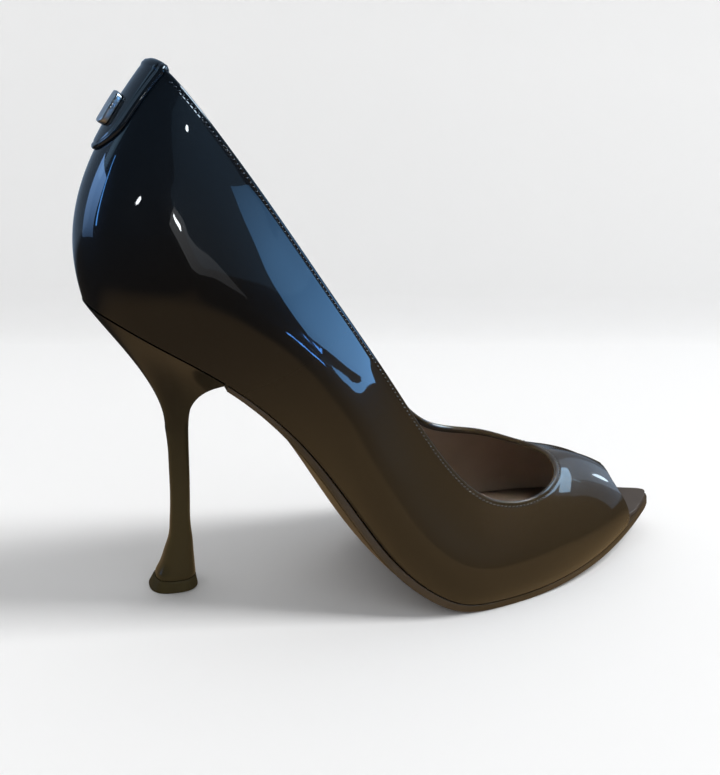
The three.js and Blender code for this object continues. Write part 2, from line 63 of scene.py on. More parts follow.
# sole's centre line, back to toe: share of the length, share of the seat's height
profileRows = np.array([
    (-0.137, 1.023), (-0.097, 0.990), (-0.040, 0.922), (0.027, 0.837), (0.097, 0.729), (0.168, 0.583),
    (0.235, 0.397), (0.296, 0.217), (0.354, 0.102), (0.412, 0.041), (0.469, 0.030), (0.540, 0.029),
    (0.628, 0.043), (0.717, 0.070), (0.805, 0.104), (0.881, 0.135),
])

# rows round the shoe from the toe tip by the lateral side: foot along, foot across, top along,
# top across, top height, rise share, rise lean, drop share, drop lean
ringRows = np.array([
    (0.873, 0.055, 0.630, -0.026, 0.226, 0.131, 170, 0.434, 90),    # toe tip
    (0.836, -0.066, 0.627, -0.110, 0.224, 0.146, 118, 0.420, 82),   # lateral toe
    (0.786, -0.177, 0.616, -0.195, 0.218, 0.251, 80, 0.377, 72),    # lateral foot of the peep
    (0.708, -0.319, 0.593, -0.283, 0.214, 0.348, 72, 0.323, 55),    # lateral vamp
    (0.611, -0.442, 0.551, -0.369, 0.208, 0.421, 68, 0.280, 40),    # lateral ball
    (0.509, -0.522, 0.491, -0.408, 0.211, 0.449, 66, 0.281, 30),    # lateral joint
    (0.407, -0.548, 0.427, -0.405, 0.251, 0.436, 66, 0.267, 24),    # lateral side
    (0.310, -0.455, 0.356, -0.390, 0.352, 0.497, 62, 0.316, 20),    # lateral waist
    (0.212, -0.332, 0.277, -0.366, 0.495, 0.671, 66, 0.527, 14),    # lateral arch
    (0.115, -0.291, 0.197, -0.338, 0.635, 0.689, 72, 0.597, 10),    # lateral quarter
    (0.018, -0.281, 0.115, -0.292, 0.780, 0.560, 78, 0.522, 12),    # lateral breast
    (-0.064, -0.244, 0.033, -0.229, 0.918, 0.423, 82, 0.423, 18),   # lateral counter
    (-0.112, -0.142, -0.019, -0.138, 0.994, 0.380, 78, 0.353, 28),  # lateral back
    (-0.126, 0.000, -0.035, 0.000, 1.001, 0.381, 74, 0.381, 36),    # back
    (-0.112, 0.142, -0.015, 0.130, 0.986, 0.386, 78, 0.358, 28),    # medial back
    (-0.064, 0.239, 0.038, 0.226, 0.928, 0.410, 82, 0.410, 18),     # medial counter
    (0.013, 0.260, 0.115, 0.290, 0.807, 0.518, 80, 0.484, 12),      # medial breast
    (0.106, 0.227, 0.197, 0.332, 0.669, 0.614, 72, 0.532, 10),      # medial quarter
    (0.204, 0.201, 0.277, 0.357, 0.535, 0.584, 64, 0.459, 12),      # medial arch
    (0.301, 0.266, 0.356, 0.377, 0.398, 0.471, 60, 0.314, 16),      # medial waist
    (0.398, 0.370, 0.425, 0.395, 0.285, 0.442, 60, 0.265, 24),      # medial side
    (0.496, 0.448, 0.485, 0.384, 0.234, 0.440, 62, 0.259, 34),      # medial joint
    (0.597, 0.468, 0.551, 0.318, 0.228, 0.380, 64, 0.253, 46),      # medial ball
    (0.690, 0.409, 0.595, 0.205, 0.225, 0.352, 70, 0.305, 60),      # medial vamp
    (0.786, 0.275, 0.621, 0.101, 0.224, 0.263, 84, 0.425, 79),      # medial foot of the peep
    (0.842, 0.151, 0.628, 0.034, 0.225, 0.143, 122, 0.428, 86),     # medial toe
])
rowCount = len(ringRows)
backStation = rowCount / 2


def settleSlopes(values, closed):
    # slopes of a curve with steady curvature through numbered rows, by repeated averaging
    slopes = np.zeros_like(values)
    for _ in range(50):
        pull = 3 * (np.roll(values, -1, 0) - np.roll(values, 1, 0))
        settled = (pull - np.roll(slopes, 1, 0) - np.roll(slopes, -1, 0)) / 4
        if not closed:
            settled[0] = (3 * (values[1] - values[0]) - slopes[1]) / 2
            settled[-1] = (3 * (values[-1] - values[-2]) - slopes[-2]) / 2
        slopes = settled
    return slopes


def tableCurve(rows, closed=False):
    # reads a table between its rows: a cubic in t from each row's value and slope to the next one's
    slopes = settleSlopes(rows, closed)
    count = len(rows)

    def read(place):
        place = np.asarray(place, float)
        held = np.mod(place, count) if closed else np.clip(place, 0, count - 1)
        i = np.minimum(np.floor(held).astype(int), count - 1 if closed else count - 2)
        j = (i + 1) % count
        t = (held - i)[..., None]
        return ((1 + 2 * t) * (1 - t) ** 2 * rows[i] + t * (1 - t) ** 2 * slopes[i]
                + t * t * (3 - 2 * t) * rows[j] + t * t * (t - 1) * slopes[j])
    return read


def smoothStep(value):
    t = np.clip(value, 0, 1)
    return t * t * (3 - 2 * t)


def mix(low, high, share):
    return low + (high - low) * share


def unit(vectors):
    return vectors / np.linalg.norm(vectors, axis=-1, keepdims=True)


ringAt = tableCurve(ringRows, True)
lineRows = tableCurve(profileRows)(np.linspace(0, len(profileRows) - 1, 6001))
lineAlong = lineRows[:, 0] * shoe["length"]
lineHeight = lineRows[:, 1] * shoe["seatHeight"]
lineSlope = np.gradient(lineHeight, lineAlong)


def soleLine(along):
    # height of the sole's centre line and its upward normal, at a place along the shoe
    slope = np.interp(along, lineAlong, lineSlope)
    length = np.hypot(slope, 1)
    return np.interp(along, lineAlong, lineHeight), -slope / length, 1 / length


def planAt(station, alongColumn):
    # plan point and outward direction of the feather edge (column 0) or of the topline (column 2)
    size = np.array([shoe["length"], shoe["ballWidth"]])
    columns = slice(alongColumn, alongColumn + 2)
    point = ringAt(station)[..., columns] * size
    run = (ringAt(station + 0.01)[..., columns] - ringAt(station - 0.01)[..., columns]) * size
    out = unit(np.stack([-run[..., 1], run[..., 0]], -1))
    return point, np.concatenate([out, np.zeros(out.shape[:-1] + (1,))], -1)


def ribHandles(station):
    # the four handles of a rib: its foot, one above it, one under the topline, and the topline
    row = ringAt(station)
    plan, out = planAt(station, 0)
    topPlan, topOut = planAt(station, 2)
    foot = np.concatenate([plan, soleLine(plan[..., 0])[0][..., None]], -1)
    top = np.concatenate([topPlan, row[..., 4:5] * shoe["collarHeight"]], -1)
    span = np.linalg.norm(top - foot, axis=-1, keepdims=True)
    up = np.array([0.0, 0.0, 1.0])
    lean, spread = np.radians(row[..., 6:7]), np.radians(row[..., 8:9])
    low = foot + (out * np.cos(lean) + up * np.sin(lean)) * row[..., 5:6] * span
    high = top + (topOut * np.sin(spread) - up * np.cos(spread)) * row[..., 7:8] * span
    return foot, low, high, top


def ribPoint(station, share):
    # the cubic through the handles, weights (1-s)^3, 3s(1-s)^2, 3s^2(1-s), s^3
    foot, low, high, top = ribHandles(station)
    s = share[..., None]
    return foot * (1 - s) ** 3 + 3 * low * s * (1 - s) ** 2 + 3 * high * s * s * (1 - s) + top * s ** 3


def skinFrame(station, share):
    # a point of the outer face, its outward normal and the direction up its rib
    step = 0.002
    around = ribPoint(station + step, share) - ribPoint(station - step, share)
    up = ribPoint(station, share + step) - ribPoint(station, share - step)
    return ribPoint(station, share), unit(np.cross(up, around)), unit(up)


ribSteps = 160


def ribRun(station):
    # running length up each rib, one row for each station
    rib = ribPoint(station[:, None], np.linspace(0, 1, ribSteps + 1)[None, :])
    chords = np.linalg.norm(np.diff(rib, axis=1), axis=2)
    return np.concatenate([np.zeros((len(station), 1)), np.cumsum(chords, 1)], 1)


def shareUnder(station, distance):
    # share of the rib that lies a distance under the topline, read between the rib's chords
    run = ribRun(station)
    goal = run[:, -1:] - distance
    at = np.clip((run[:, None, :] < goal[:, :, None]).sum(2) - 1, 0, ribSteps - 1)
    low = np.take_along_axis(run, at, 1)
    high = np.take_along_axis(run, at + 1, 1)
    return (at + (goal - low) / (high - low)) / ribSteps


def distanceUnder(station, share):
    # the other way round: length of the rib between a share and the topline
    run = ribRun(station)
    at = np.clip((share * ribSteps).astype(int), 0, ribSteps - 1)
    low = np.take_along_axis(run, at[:, None], 1)[:, 0]
    high = np.take_along_axis(run, at[:, None] + 1, 1)[:, 0]
    return run[:, -1] - (low + (high - low) * (share * ribSteps - at))


def peepStart(station):
    # share at which the upper begins: 0, lifted over the peep as a rounded hump
    half = backStation
    wrapped = np.mod(station + half, rowCount) - half
    across = np.clip(np.abs(wrapped) / shoe["peepHalfSpan"], 0, 1)
    return shoe["peepTop"] * (1 - across ** 2) ** (shoe["peepRoundness"] / 2)


def gridFaces(rows, columns, closeRows=False, closeColumns=False):
    r = np.arange(rows if closeRows else rows - 1)[:, None]
    c = np.arange(columns if closeColumns else columns - 1)[None, :]
    a = r * columns + c
    b = r * columns + (c + 1) % columns
    e = (r + 1) % rows * columns + (c + 1) % columns
    d = (r + 1) % rows * columns + c
    return np.stack([a, b, e, d], -1).reshape(-1, 4)


def signedVolume(points, faces):
    a, b, c, d = (points[faces[:, k]] for k in range(4))
    return (np.einsum("ij,ij->i", a, np.cross(b, c)) + np.einsum("ij,ij->i", a, np.cross(c, d))).sum()


def makePiece(name, points, faces, materials, node=None, faceMaterial=None, sharp=None):
    # a closed mesh from arrays, faces turned outward, seams and poles merged, riding on the one body
    if signedVolume(points, faces) < 0:
        faces = faces[:, ::-1]
    mesh = bpy.data.meshes.new(name)
    mesh.from_pydata((points * 0.001).tolist(), [], faces.tolist())
    for material in materials:
        mesh.materials.append(material)
    if faceMaterial is not None:
        mesh.polygons.foreach_set("material_index", faceMaterial.astype(np.int32))
    import bmesh
    shell = bmesh.new()
    shell.from_mesh(mesh)
    bmesh.ops.remove_doubles(shell, verts=shell.verts, dist=2e-7)
    bmesh.ops.dissolve_degenerate(shell, edges=shell.edges, dist=1e-8)
    shell.to_mesh(mesh)
    shell.free()
    mesh.polygons.foreach_set("use_smooth", np.ones(len(mesh.polygons), bool))
    if sharp:
        mesh.set_sharp_from_angle(angle=math.radians(sharp))
    mesh.update()
    piece = bpy.data.objects.new(name, mesh)
    bpy.context.scene.collection.objects.link(piece)
    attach(piece, "root")
    if node:
        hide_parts(node)
    print(f"{name}: {len(mesh.vertices)} points, {len(mesh.polygons)} faces")
    return piece


# materials

def newNode(tree, kind, place=(0, 0), **values):
    node = tree.nodes.new(kind)
    node.location = place
    for key, value in values.items():
        setattr(node, key, value)
    return node


def newGroup(name, inputs, outputs):
    # a shader node group with named sockets; returns the tree and its two ends
    tree = bpy.data.node_groups.new(name, "ShaderNodeTree")
    for label, kind, value in inputs:
        socket = tree.interface.new_socket(name=label, in_out="INPUT", socket_type=kind)
        if value is not None:
            socket.default_value = value
    for label, kind in outputs:
        tree.interface.new_socket(name=label, in_out="OUTPUT", socket_type=kind)
    return tree, newNode(tree, "NodeGroupInput", (-900, 0)), newNode(tree, "NodeGroupOutput", (700, 0))


def buildPaintedReflectionByPlace():
    # colour by place on the shoe: the leather's near-black middle colour, with painted reflection turning it navy at
    # the top and back and warm brown, with painted bounce light, low and in front
    tree, ends, out = newGroup("paintedReflectionByPlace", [
        ("Position", "NodeSocketVector", None),
        ("Low Color", "NodeSocketColor", (0.05, 0.035, 0.02, 1)),
        ("Middle Color", "NodeSocketColor", (0.01, 0.009, 0.008, 1)),
        ("High Color", "NodeSocketColor", (0.008, 0.012, 0.02, 1)),
        ("Low End", "NodeSocketFloat", 0.0),
        ("High Start", "NodeSocketFloat", 0.1),
        ("High End", "NodeSocketFloat", 0.18),
    ], [("Color", "NodeSocketColor")])
    split = newNode(tree, "ShaderNodeSeparateXYZ", (-700, 0))
    tree.links.new(ends.outputs["Position"], split.inputs[0])
    slide = newNode(tree, "ShaderNodeMath", (-500, 100), operation="MULTIPLY_ADD")
    slide.inputs[1].default_value = -0.62
    tree.links.new(split.outputs["X"], slide.inputs[0])
    tree.links.new(split.outputs["Z"], slide.inputs[2])
    cloud = newNode(tree, "ShaderNodeTexNoise", (-500, -200))
    cloud.inputs["Scale"].default_value = 14
    cloud.inputs["Detail"].default_value = 2
    tree.links.new(ends.outputs["Position"], cloud.inputs["Vector"])
    stir = newNode(tree, "ShaderNodeMath", (-300, 0), operation="MULTIPLY_ADD")
    stir.inputs[1].default_value = 0.012
    tree.links.new(cloud.outputs[0], stir.inputs[0])
    tree.links.new(slide.outputs[0], stir.inputs[2])
    lower = newNode(tree, "ShaderNodeMapRange", (-100, 150), interpolation_type="SMOOTHSTEP")
    tree.links.new(stir.outputs[0], lower.inputs["Value"])
    tree.links.new(ends.outputs["Low End"], lower.inputs["From Min"])
    lower.inputs["From Max"].default_value = 0.105
    upper = newNode(tree, "ShaderNodeMapRange", (-100, -150), interpolation_type="SMOOTHSTEP")
    tree.links.new(stir.outputs[0], upper.inputs["Value"])
    tree.links.new(ends.outputs["High Start"], upper.inputs["From Min"])
    tree.links.new(ends.outputs["High End"], upper.inputs["From Max"])
    first = newNode(tree, "ShaderNodeMix", (150, 100), data_type="RGBA")
    tree.links.new(lower.outputs[0], first.inputs[0])
    tree.links.new(ends.outputs["Low Color"], first.inputs[6])
    tree.links.new(ends.outputs["Middle Color"], first.inputs[7])
    second = newNode(tree, "ShaderNodeMix", (400, 0), data_type="RGBA")
    tree.links.new(upper.outputs[0], second.inputs[0])
    tree.links.new(first.outputs[2], second.inputs[6])
    tree.links.new(ends.outputs["High Color"], second.inputs[7])
    tree.links.new(second.outputs[2], out.inputs["Color"])
    return tree


def buildGrain():
    # fine leather grain: cells broken by noise, put out as a height and as a soft mask
    tree, ends, out = newGroup("leatherGrain", [
        ("Position", "NodeSocketVector", None),
        ("Cell Scale", "NodeSocketFloat", 900.0),
        ("Cloud Scale", "NodeSocketFloat", 60.0),
    ], [("Height", "NodeSocketFloat"), ("Mask", "NodeSocketFloat")])
    cells = newNode(tree, "ShaderNodeTexVoronoi", (-500, 150), feature="SMOOTH_F1")
    tree.links.new(ends.outputs["Position"], cells.inputs["Vector"])
    tree.links.new(ends.outputs["Cell Scale"], cells.inputs["Scale"])
    cloud = newNode(tree, "ShaderNodeTexNoise", (-500, -150))
    cloud.inputs["Detail"].default_value = 5
    tree.links.new(ends.outputs["Position"], cloud.inputs["Vector"])
    tree.links.new(ends.outputs["Cloud Scale"], cloud.inputs["Scale"])
    blend = newNode(tree, "ShaderNodeMath", (-200, 50), operation="MULTIPLY_ADD")
    blend.inputs[1].default_value = 0.6
    tree.links.new(cells.outputs["Distance"], blend.inputs[0])
    tree.links.new(cloud.outputs[0], blend.inputs[2])
    spread = newNode(tree, "ShaderNodeMapRange", (-200, -200), interpolation_type="SMOOTHSTEP")
    spread.inputs["From Min"].default_value = 0.35
    spread.inputs["From Max"].default_value = 0.7
    tree.links.new(cloud.outputs[0], spread.inputs["Value"])
    tree.links.new(blend.outputs[0], out.inputs["Height"])
    tree.links.new(spread.outputs[0], out.inputs["Mask"])
    return tree


def buildWave():
    # slow waves of a stretched lacquered skin, put out as a height
    tree, ends, out = newGroup("lacquerWave", [
        ("Position", "NodeSocketVector", None),
        ("Wave Scale", "NodeSocketFloat", 45.0),
        ("Peel Scale", "NodeSocketFloat", 420.0),
        ("Peel Share", "NodeSocketFloat", 0.06),
    ], [("Height", "NodeSocketFloat")])
    wave = newNode(tree, "ShaderNodeTexNoise", (-500, 150))
    wave.inputs["Detail"].default_value = 1
    tree.links.new(ends.outputs["Position"], wave.inputs["Vector"])
    tree.links.new(ends.outputs["Wave Scale"], wave.inputs["Scale"])
    peel = newNode(tree, "ShaderNodeTexNoise", (-500, -150))
    peel.inputs["Detail"].default_value = 1
    tree.links.new(ends.outputs["Position"], peel.inputs["Vector"])
    tree.links.new(ends.outputs["Peel Scale"], peel.inputs["Scale"])
    share = newNode(tree, "ShaderNodeMath", (-200, 0), operation="MULTIPLY_ADD")
    tree.links.new(peel.outputs[0], share.inputs[0])
    tree.links.new(ends.outputs["Peel Share"], share.inputs[1])
    tree.links.new(wave.outputs[0], share.inputs[2])
    tree.links.new(share.outputs[0], out.inputs["Height"])
    return tree


paintedReflectionGroup = buildPaintedReflectionByPlace()
grainGroup = buildGrain()
waveGroup = buildWave()


def newMaterial(name, settings):
    # a Principled material with its constant values on the shader's own sockets
    material = bpy.data.materials.new(name)
    material.use_nodes = True
    tree = material.node_tree
    shader = tree.nodes["Principled BSDF"]
    shader.inputs["Roughness"].default_value = settings["roughness"]
    shader.inputs["Metallic"].default_value = settings.get("metallic", 0)
    shader.inputs["IOR"].default_value = settings.get("ior", 1.5)
    shader.inputs["Specular IOR Level"].default_value = settings.get("specular", 0.5)
    shader.inputs["Coat Weight"].default_value = settings.get("coat", 0)
    shader.inputs["Coat Roughness"].default_value = settings.get("coatRoughness", 0.03)
    shader.inputs["Coat IOR"].default_value = settings.get("coatIor", 1.5)
    if "color" in settings:
        shader.inputs["Base Color"].default_value = settings["color"] + (1,)
    place = newNode(tree, "ShaderNodeTexCoord", (-1100, 0))
    return material, tree, shader, place.outputs["Object"]


def addGroup(tree, group, place, position, **values):
    node = newNode(tree, "ShaderNodeGroup", place, node_tree=group)
    tree.links.new(position, node.inputs["Position"])
    for key, value in values.items():
        node.inputs[key].default_value = value
    return node


def addBump(tree, shader, height, strength, distance):
    bump = newNode(tree, "ShaderNodeBump", (-300, -400))
    bump.inputs["Strength"].default_value = strength
    bump.inputs["Distance"].default_value = distance
    tree.links.new(height, bump.inputs["Height"])
    tree.links.new(bump.outputs[0], shader.inputs["Normal"])
    return bump


def lacquered(name, settings):
    # lacquered leather: near-black base with painted reflection by place, hard clear coat, slow waves
    material, tree, shader, position = newMaterial(name, settings)
    # painted reflection mixed into the base colour: navy high on the shoe, warm brown low and in front
    paintedReflection = addGroup(tree, paintedReflectionGroup, (-700, 200), position, **{
        "Low Color": settings["low"] + (1,), "Middle Color": settings["middle"] + (1,),
        "High Color": settings["high"] + (1,), "Low End": settings["lowEnd"],
        "High Start": settings["highStart"], "High End": settings["highEnd"]})
    tree.links.new(paintedReflection.outputs["Color"], shader.inputs["Base Color"])
    wave = addGroup(tree, waveGroup, (-700, -300), position, **{
        "Wave Scale": settings["waveScale"], "Peel Scale": settings["peelScale"],
        "Peel Share": settings["peelShare"]})
    addBump(tree, shader, wave.outputs["Height"], 1.0, settings["waveDepth"])
    return material


def leather(name, settings):
    # plain leather: mottled colour and roughness over a fine grain
    material, tree, shader, position = newMaterial(name, settings)
    grain = addGroup(tree, grainGroup, (-700, 0), position, **{
        "Cell Scale": settings["cellScale"], "Cloud Scale": settings["cloudScale"]})
    tint = newNode(tree, "ShaderNodeMix", (-400, 200), data_type="RGBA")
    tint.inputs[6].default_value = settings["dark"] + (1,)
    tint.inputs[7].default_value = settings["light"] + (1,)
    tree.links.new(grain.outputs["Mask"], tint.inputs[0])
    tree.links.new(tint.outputs[2], shader.inputs["Base Color"])
    rough = newNode(tree, "ShaderNodeMapRange", (-400, -50))
    rough.inputs["To Min"].default_value = settings["roughness"] - settings["roughSpread"]
    rough.inputs["To Max"].default_value = settings["roughness"] + settings["roughSpread"]
    tree.links.new(grain.outputs["Mask"], rough.inputs["Value"])
    tree.links.new(rough.outputs[0], shader.inputs["Roughness"])
    addBump(tree, shader, grain.outputs["Height"], settings["grainStrength"], settings["grainDepth"])
    return material


# low and high colours are painted reflection on the near-black middle colour: warm brown low and in front, navy at the
# top and back
patentFinishAndPaintedReflection = {
    "roughness": 0.3, "specular": 0.05, "coat": 1.0, "coatRoughness": 0.02,
    "low": (0.0335, 0.0225, 0.0108), "middle": (0.0055, 0.0047, 0.0043), "high": (0.0042, 0.0080, 0.0135),
    "lowEnd": 0.02, "highStart": 0.115, "highEnd": 0.185,
    "waveScale": 40.0, "peelScale": 420.0, "peelShare": 0.05, "waveDepth": 0.0004,
}
# the heel's low colour is lighter, with painted reflection and painted bounce light on its stem and flare
heelFinishAndPaintedReflection = dict(patentFinishAndPaintedReflection, low=(0.044, 0.034, 0.0145), coat=0.6, coatRoughness=0.08,
                  waveDepth=0.0001)
# the thread takes painted reflection by place as well
threadFinishAndPaintedReflection = dict(patentFinishAndPaintedReflection, low=(0.060, 0.050, 0.036), middle=(0.020, 0.020, 0.021),
                    high=(0.018, 0.026, 0.040), roughness=0.4, coatRoughness=0.12)
liningFinish = {
    "roughness": 0.5, "specular": 0.4, "dark": (0.22, 0.165, 0.115), "light": (0.27, 0.20, 0.145),
    "roughSpread": 0.06, "cellScale": 1100.0, "cloudScale": 45.0, "grainStrength": 0.35,
    "grainDepth": 0.0001,
}
insoleFinish = dict(liningFinish, dark=(0.050, 0.035, 0.025), light=(0.070, 0.050, 0.036), roughness=0.5, specular=0.25)
soleFinish = {
    "roughness": 0.38, "specular": 0.25, "dark": (0.060, 0.039, 0.018), "light": (0.082, 0.053, 0.026),
    "roughSpread": 0.08, "cellScale": 700.0, "cloudScale": 30.0, "grainStrength": 0.25,
    "grainDepth": 0.0001,
}
rubberFinish = {
    "roughness": 0.55, "specular": 0.05, "dark": (0.048, 0.037, 0.015), "light": (0.058, 0.045, 0.018),
    "roughSpread": 0.1, "cellScale": 1500.0, "cloudScale": 80.0, "grainStrength": 0.3,
    "grainDepth": 0.0001,
}
metalFinish = {
    "roughness": 0.3, "metallic": 1.0, "dark": (0.50, 0.49, 0.49), "light": (0.66, 0.65, 0.64),
    "roughSpread": 0.05, "cellScale": 3000.0, "cloudScale": 150.0, "grainStrength": 0.05,
    "grainDepth": 0.00002,
}

patent = lacquered("patent", patentFinishAndPaintedReflection)
heelCover = lacquered("heelCover", heelFinishAndPaintedReflection)
lining = leather("lining", liningFinish)
insoleSkin = leather("insoleSkin", insoleFinish)
soleLeather = leather("soleLeather", soleFinish)
rubber = leather("topPieceRubber", rubberFinish)
thread = lacquered("thread", threadFinishAndPaintedReflection)
metal = leather("plateMetal", metalFinish)
print("materials made")


# upper

upperLook = {
    "peepStations": 150, "ringStations": 420, "bodyRows": 46, "liningRows": 30, "capSteps": 8,
    "edgeRadius": 0.8, "bandWidth": 1.7, "bandRise": 0.2, "grooveAt": 2.0, "grooveWidth": 0.38,
    "grooveDepth": 0.16, "tuckRun": 0.7, "tuckDepth": 0.14, "turnIn": 2.8, "turnInRise": 0.12,
}
bandRows = np.array([0.8, 1.0, 1.2, 1.4, 1.55, 1.7, 1.85, 2.0, 2.15, 2.3, 2.5, 2.8, 3.3, 4.2, 5.5])
footRows = np.array([3.0, 2.0, 1.4, 0.95, 0.6, 0.3, 0.0])
innerRows = np.array([0.8, 1.3, 1.9, 2.4, 2.7, 2.8, 2.95, 3.2, 4.0, 5.5])


def bandLift(distance):
    # folded edge: raised by the fold, then a narrow groove where the stitches lie
    fold = upperLook["bandRise"] * (1 - smoothStep((distance - upperLook["bandWidth"]) / 0.5))
    dip = np.exp(-((distance - upperLook["grooveAt"]) / upperLook["grooveWidth"]) ** 2)
    return fold - upperLook["grooveDepth"] * dip


# slow waves of the stretched skin: turns per millimetre along, across and up, start and height
waveRows = np.array([
    (0.205, 0.0, 0.085, 0.4, 0.015), (-0.115, 0.05, 0.165, 2.1, 0.018), (0.31, 0.1, -0.23, 1.0, 0.006),
    (0.09, 0.22, 0.36, 3.0, 0.005),
])
# creases, given one by one: from point, to point, half width and height, all in millimetres
creaseRows = [
    ((-8, -21, 141), (2, -24, 118), 4.0, 0.24),      # counter's stiffened edge
    ((1, -17, 160), (0, -18, 157), 1.6, -0.04),      # small dents in the counter
    ((-3, -22, 136), (-3, -22.5, 133), 1.8, -0.04),
    ((-14, -19, 140), (-15, -19, 136), 1.8, -0.04),
    ((22, -28, 110), (52, -30, 84), 2.4, -0.10),     # long drawn fold low on the quarter
    ((-24, -13, 150), (-27, -12, 122), 3.0, -0.16),  # upright fold at the back of the counter
    ((-19, -16, 146), (-22, -16, 120), 2.2, 0.10),
    ((120, -33, 27), (150, -26, 22), 5.0, -0.10),    # soft hollow on the vamp's side
    ((144, -13, 38), (141, -26, 33), 3.0, 0.10),     # low ridge beside the throat
]


def skinLift(points, inward):
    # waves as a sum of sines, creases as bells round straight lines, both fading out at the edges
    waves = np.sin(points @ waveRows[:, :3].T + waveRows[:, 3]) @ waveRows[:, 4]
    for first, last, width, height in creaseRows:
        first, last = np.array(first, float), np.array(last, float)
        line = last - first
        along = np.clip((points - first) @ line / (line @ line), 0, 1)
        apart = np.linalg.norm(points - first - along[..., None] * line, axis=-1)
        waves = waves + height * np.exp(-(apart / width) ** 2)
    return waves * smoothStep((inward - 2.6) / 5)


def innerLift(distance):
    # the skin turned in over the edge is a little proud of the lining
    turn = 1 - smoothStep((distance - upperLook["turnIn"]) / 0.25)
    return -shoe["wall"] - upperLook["turnInRise"] * turn


def makeUpper():
    # each station's loop: outer face down from the topline, round the foot, inner face up, round the edge
    run = np.linspace(-1, 1, upperLook["peepStations"], endpoint=False)
    inPeep = shoe["peepHalfSpan"] * np.sign(run) * (1 - (1 - np.abs(run)) ** 2.5)
    rest = rowCount - 2 * shoe["peepHalfSpan"]
    ring = shoe["peepHalfSpan"] + rest * np.arange(upperLook["ringStations"]) / upperLook["ringStations"]
    station = np.concatenate([inPeep, ring])
    start = peepStart(station)
    open_ = smoothStep(start / 0.1)
    whole = distanceUnder(station, start)
    end = whole - upperLook["edgeRadius"] * open_
    slide = np.linspace(0, 1, upperLook["bodyRows"] + 2)[None, 1:-1]
    body = mix(bandRows[-1], (end - footRows[0])[:, None], slide)
    outer = np.concatenate([np.tile(bandRows, (len(station), 1)), body, end[:, None] - footRows], 1)
    slide = np.linspace(0, 1, upperLook["liningRows"] + 1)[None, 1:]
    inner = np.concatenate([np.tile(innerRows, (len(station), 1)),
                            mix(innerRows[-1], end[:, None], slide)], 1)

    where = station[:, None]
    point, normal, up = skinFrame(where, shareUnder(station, outer))
    tuck = np.clip(1 - (end[:, None] - outer) / upperLook["tuckRun"], 0, 1) ** 2
    lift = bandLift(outer) - upperLook["tuckDepth"] * tuck * (1 - open_[:, None])
    lift = lift + skinLift(point, np.minimum(outer, end[:, None] - outer + 2.0))
    outerFace = point + normal * lift[..., None]
    topUp, footUp = up[:, 0], up[:, -1]
    point, normal, up = skinFrame(where, shareUnder(station, inner))
    innerFace = point + normal * innerLift(inner)[..., None]
    plan, out = planAt(station, 0)
    level = plan - out[:, :2] * shoe["wall"]
    level = np.concatenate([level, soleLine(level[:, 0])[0][:, None]], 1)
    innerFace[:, -1] = mix(level, innerFace[:, -1], open_[:, None])

    turn = np.linspace(0, np.pi, upperLook["capSteps"] + 1)[1:-1]

    def cap(first, last, direction, radius):
        # half round from one face's edge to the other's
        middle, half = (first + last) / 2, (first - last) / 2
        return (middle[:, None] + half[:, None] * np.cos(turn)[None, :, None]
                + (direction * radius[:, None])[:, None] * np.sin(turn)[None, :, None])

    radius = np.full(len(station), upperLook["edgeRadius"])
    footCap = cap(outerFace[:, -1], innerFace[:, -1], -footUp, radius * open_)
    topCap = cap(innerFace[:, 0], outerFace[:, 0], topUp, radius)
    loop = np.concatenate([outerFace, footCap, innerFace[:, ::-1], topCap], 1)
    rows, columns = loop.shape[:2]
    faces = gridFaces(rows, columns, True, True)
    liningFrom = outer.shape[1] + footCap.shape[1]
    liningTo = liningFrom + inner.shape[1] - 6
    column = np.tile(np.arange(columns), rows)
    inside = (column >= liningFrom) & (column < liningTo)
    return makePiece("upper_skin", loop.reshape(-1, 3), faces, [patent, lining], "upper", inside)


makeUpper()


# stitches

stitchLook = {"under": 2.0, "pitch": 1.6, "length": 1.2, "radius": 0.24, "lift": 0.02, "around": 8, "along": 6}


def makeStitches():
    # a row of short rounded threads: half sphere ends swept along the topline, one frame for each
    dense = np.linspace(0, rowCount, 2601)
    share = shareUnder(dense, np.full((len(dense), 1), stitchLook["under"]))[:, 0]
    path, _, _ = skinFrame(dense, share)
    run = np.concatenate([[0], np.cumsum(np.linalg.norm(np.diff(path, axis=0), axis=1))])
    count = int(run[-1] / stitchLook["pitch"])
    station = np.interp(np.arange(count) * run[-1] / count, run, dense)
    clear = np.abs(station - backStation) > 1.16
    station = station[clear]
    share = shareUnder(station, np.full((len(station), 1), stitchLook["under"]))[:, 0]
    centre, normal, up = skinFrame(station, share)
    forward = unit(np.cross(normal, up))
    t = np.linspace(-1, 1, stitchLook["along"] + 1)
    angle = np.linspace(0, 2 * np.pi, stitchLook["around"], endpoint=False)
    fat = stitchLook["radius"] * np.sqrt(np.clip(1 - np.abs(t) ** 3, 0, 1))
    x = (t * stitchLook["length"] / 2)[:, None] + 0 * angle
    y = fat[:, None] * np.cos(angle) + stitchLook["lift"] - 0.12 * (t ** 2)[:, None]
    z = fat[:, None] * np.sin(angle)
    points = (centre[:, None, None] + forward[:, None, None] * x[None, ..., None]
              + normal[:, None, None] * y[None, ..., None] + up[:, None, None] * z[None, ..., None])
    one = gridFaces(len(t), len(angle), False, True)
    faces = (one[None] + (np.arange(len(station)) * len(t) * len(angle))[:, None, None]).reshape(-1, 4)
    return makePiece("topline_stitches", points.reshape(-1, 3), faces, [thread])


makeStitches()


# soles

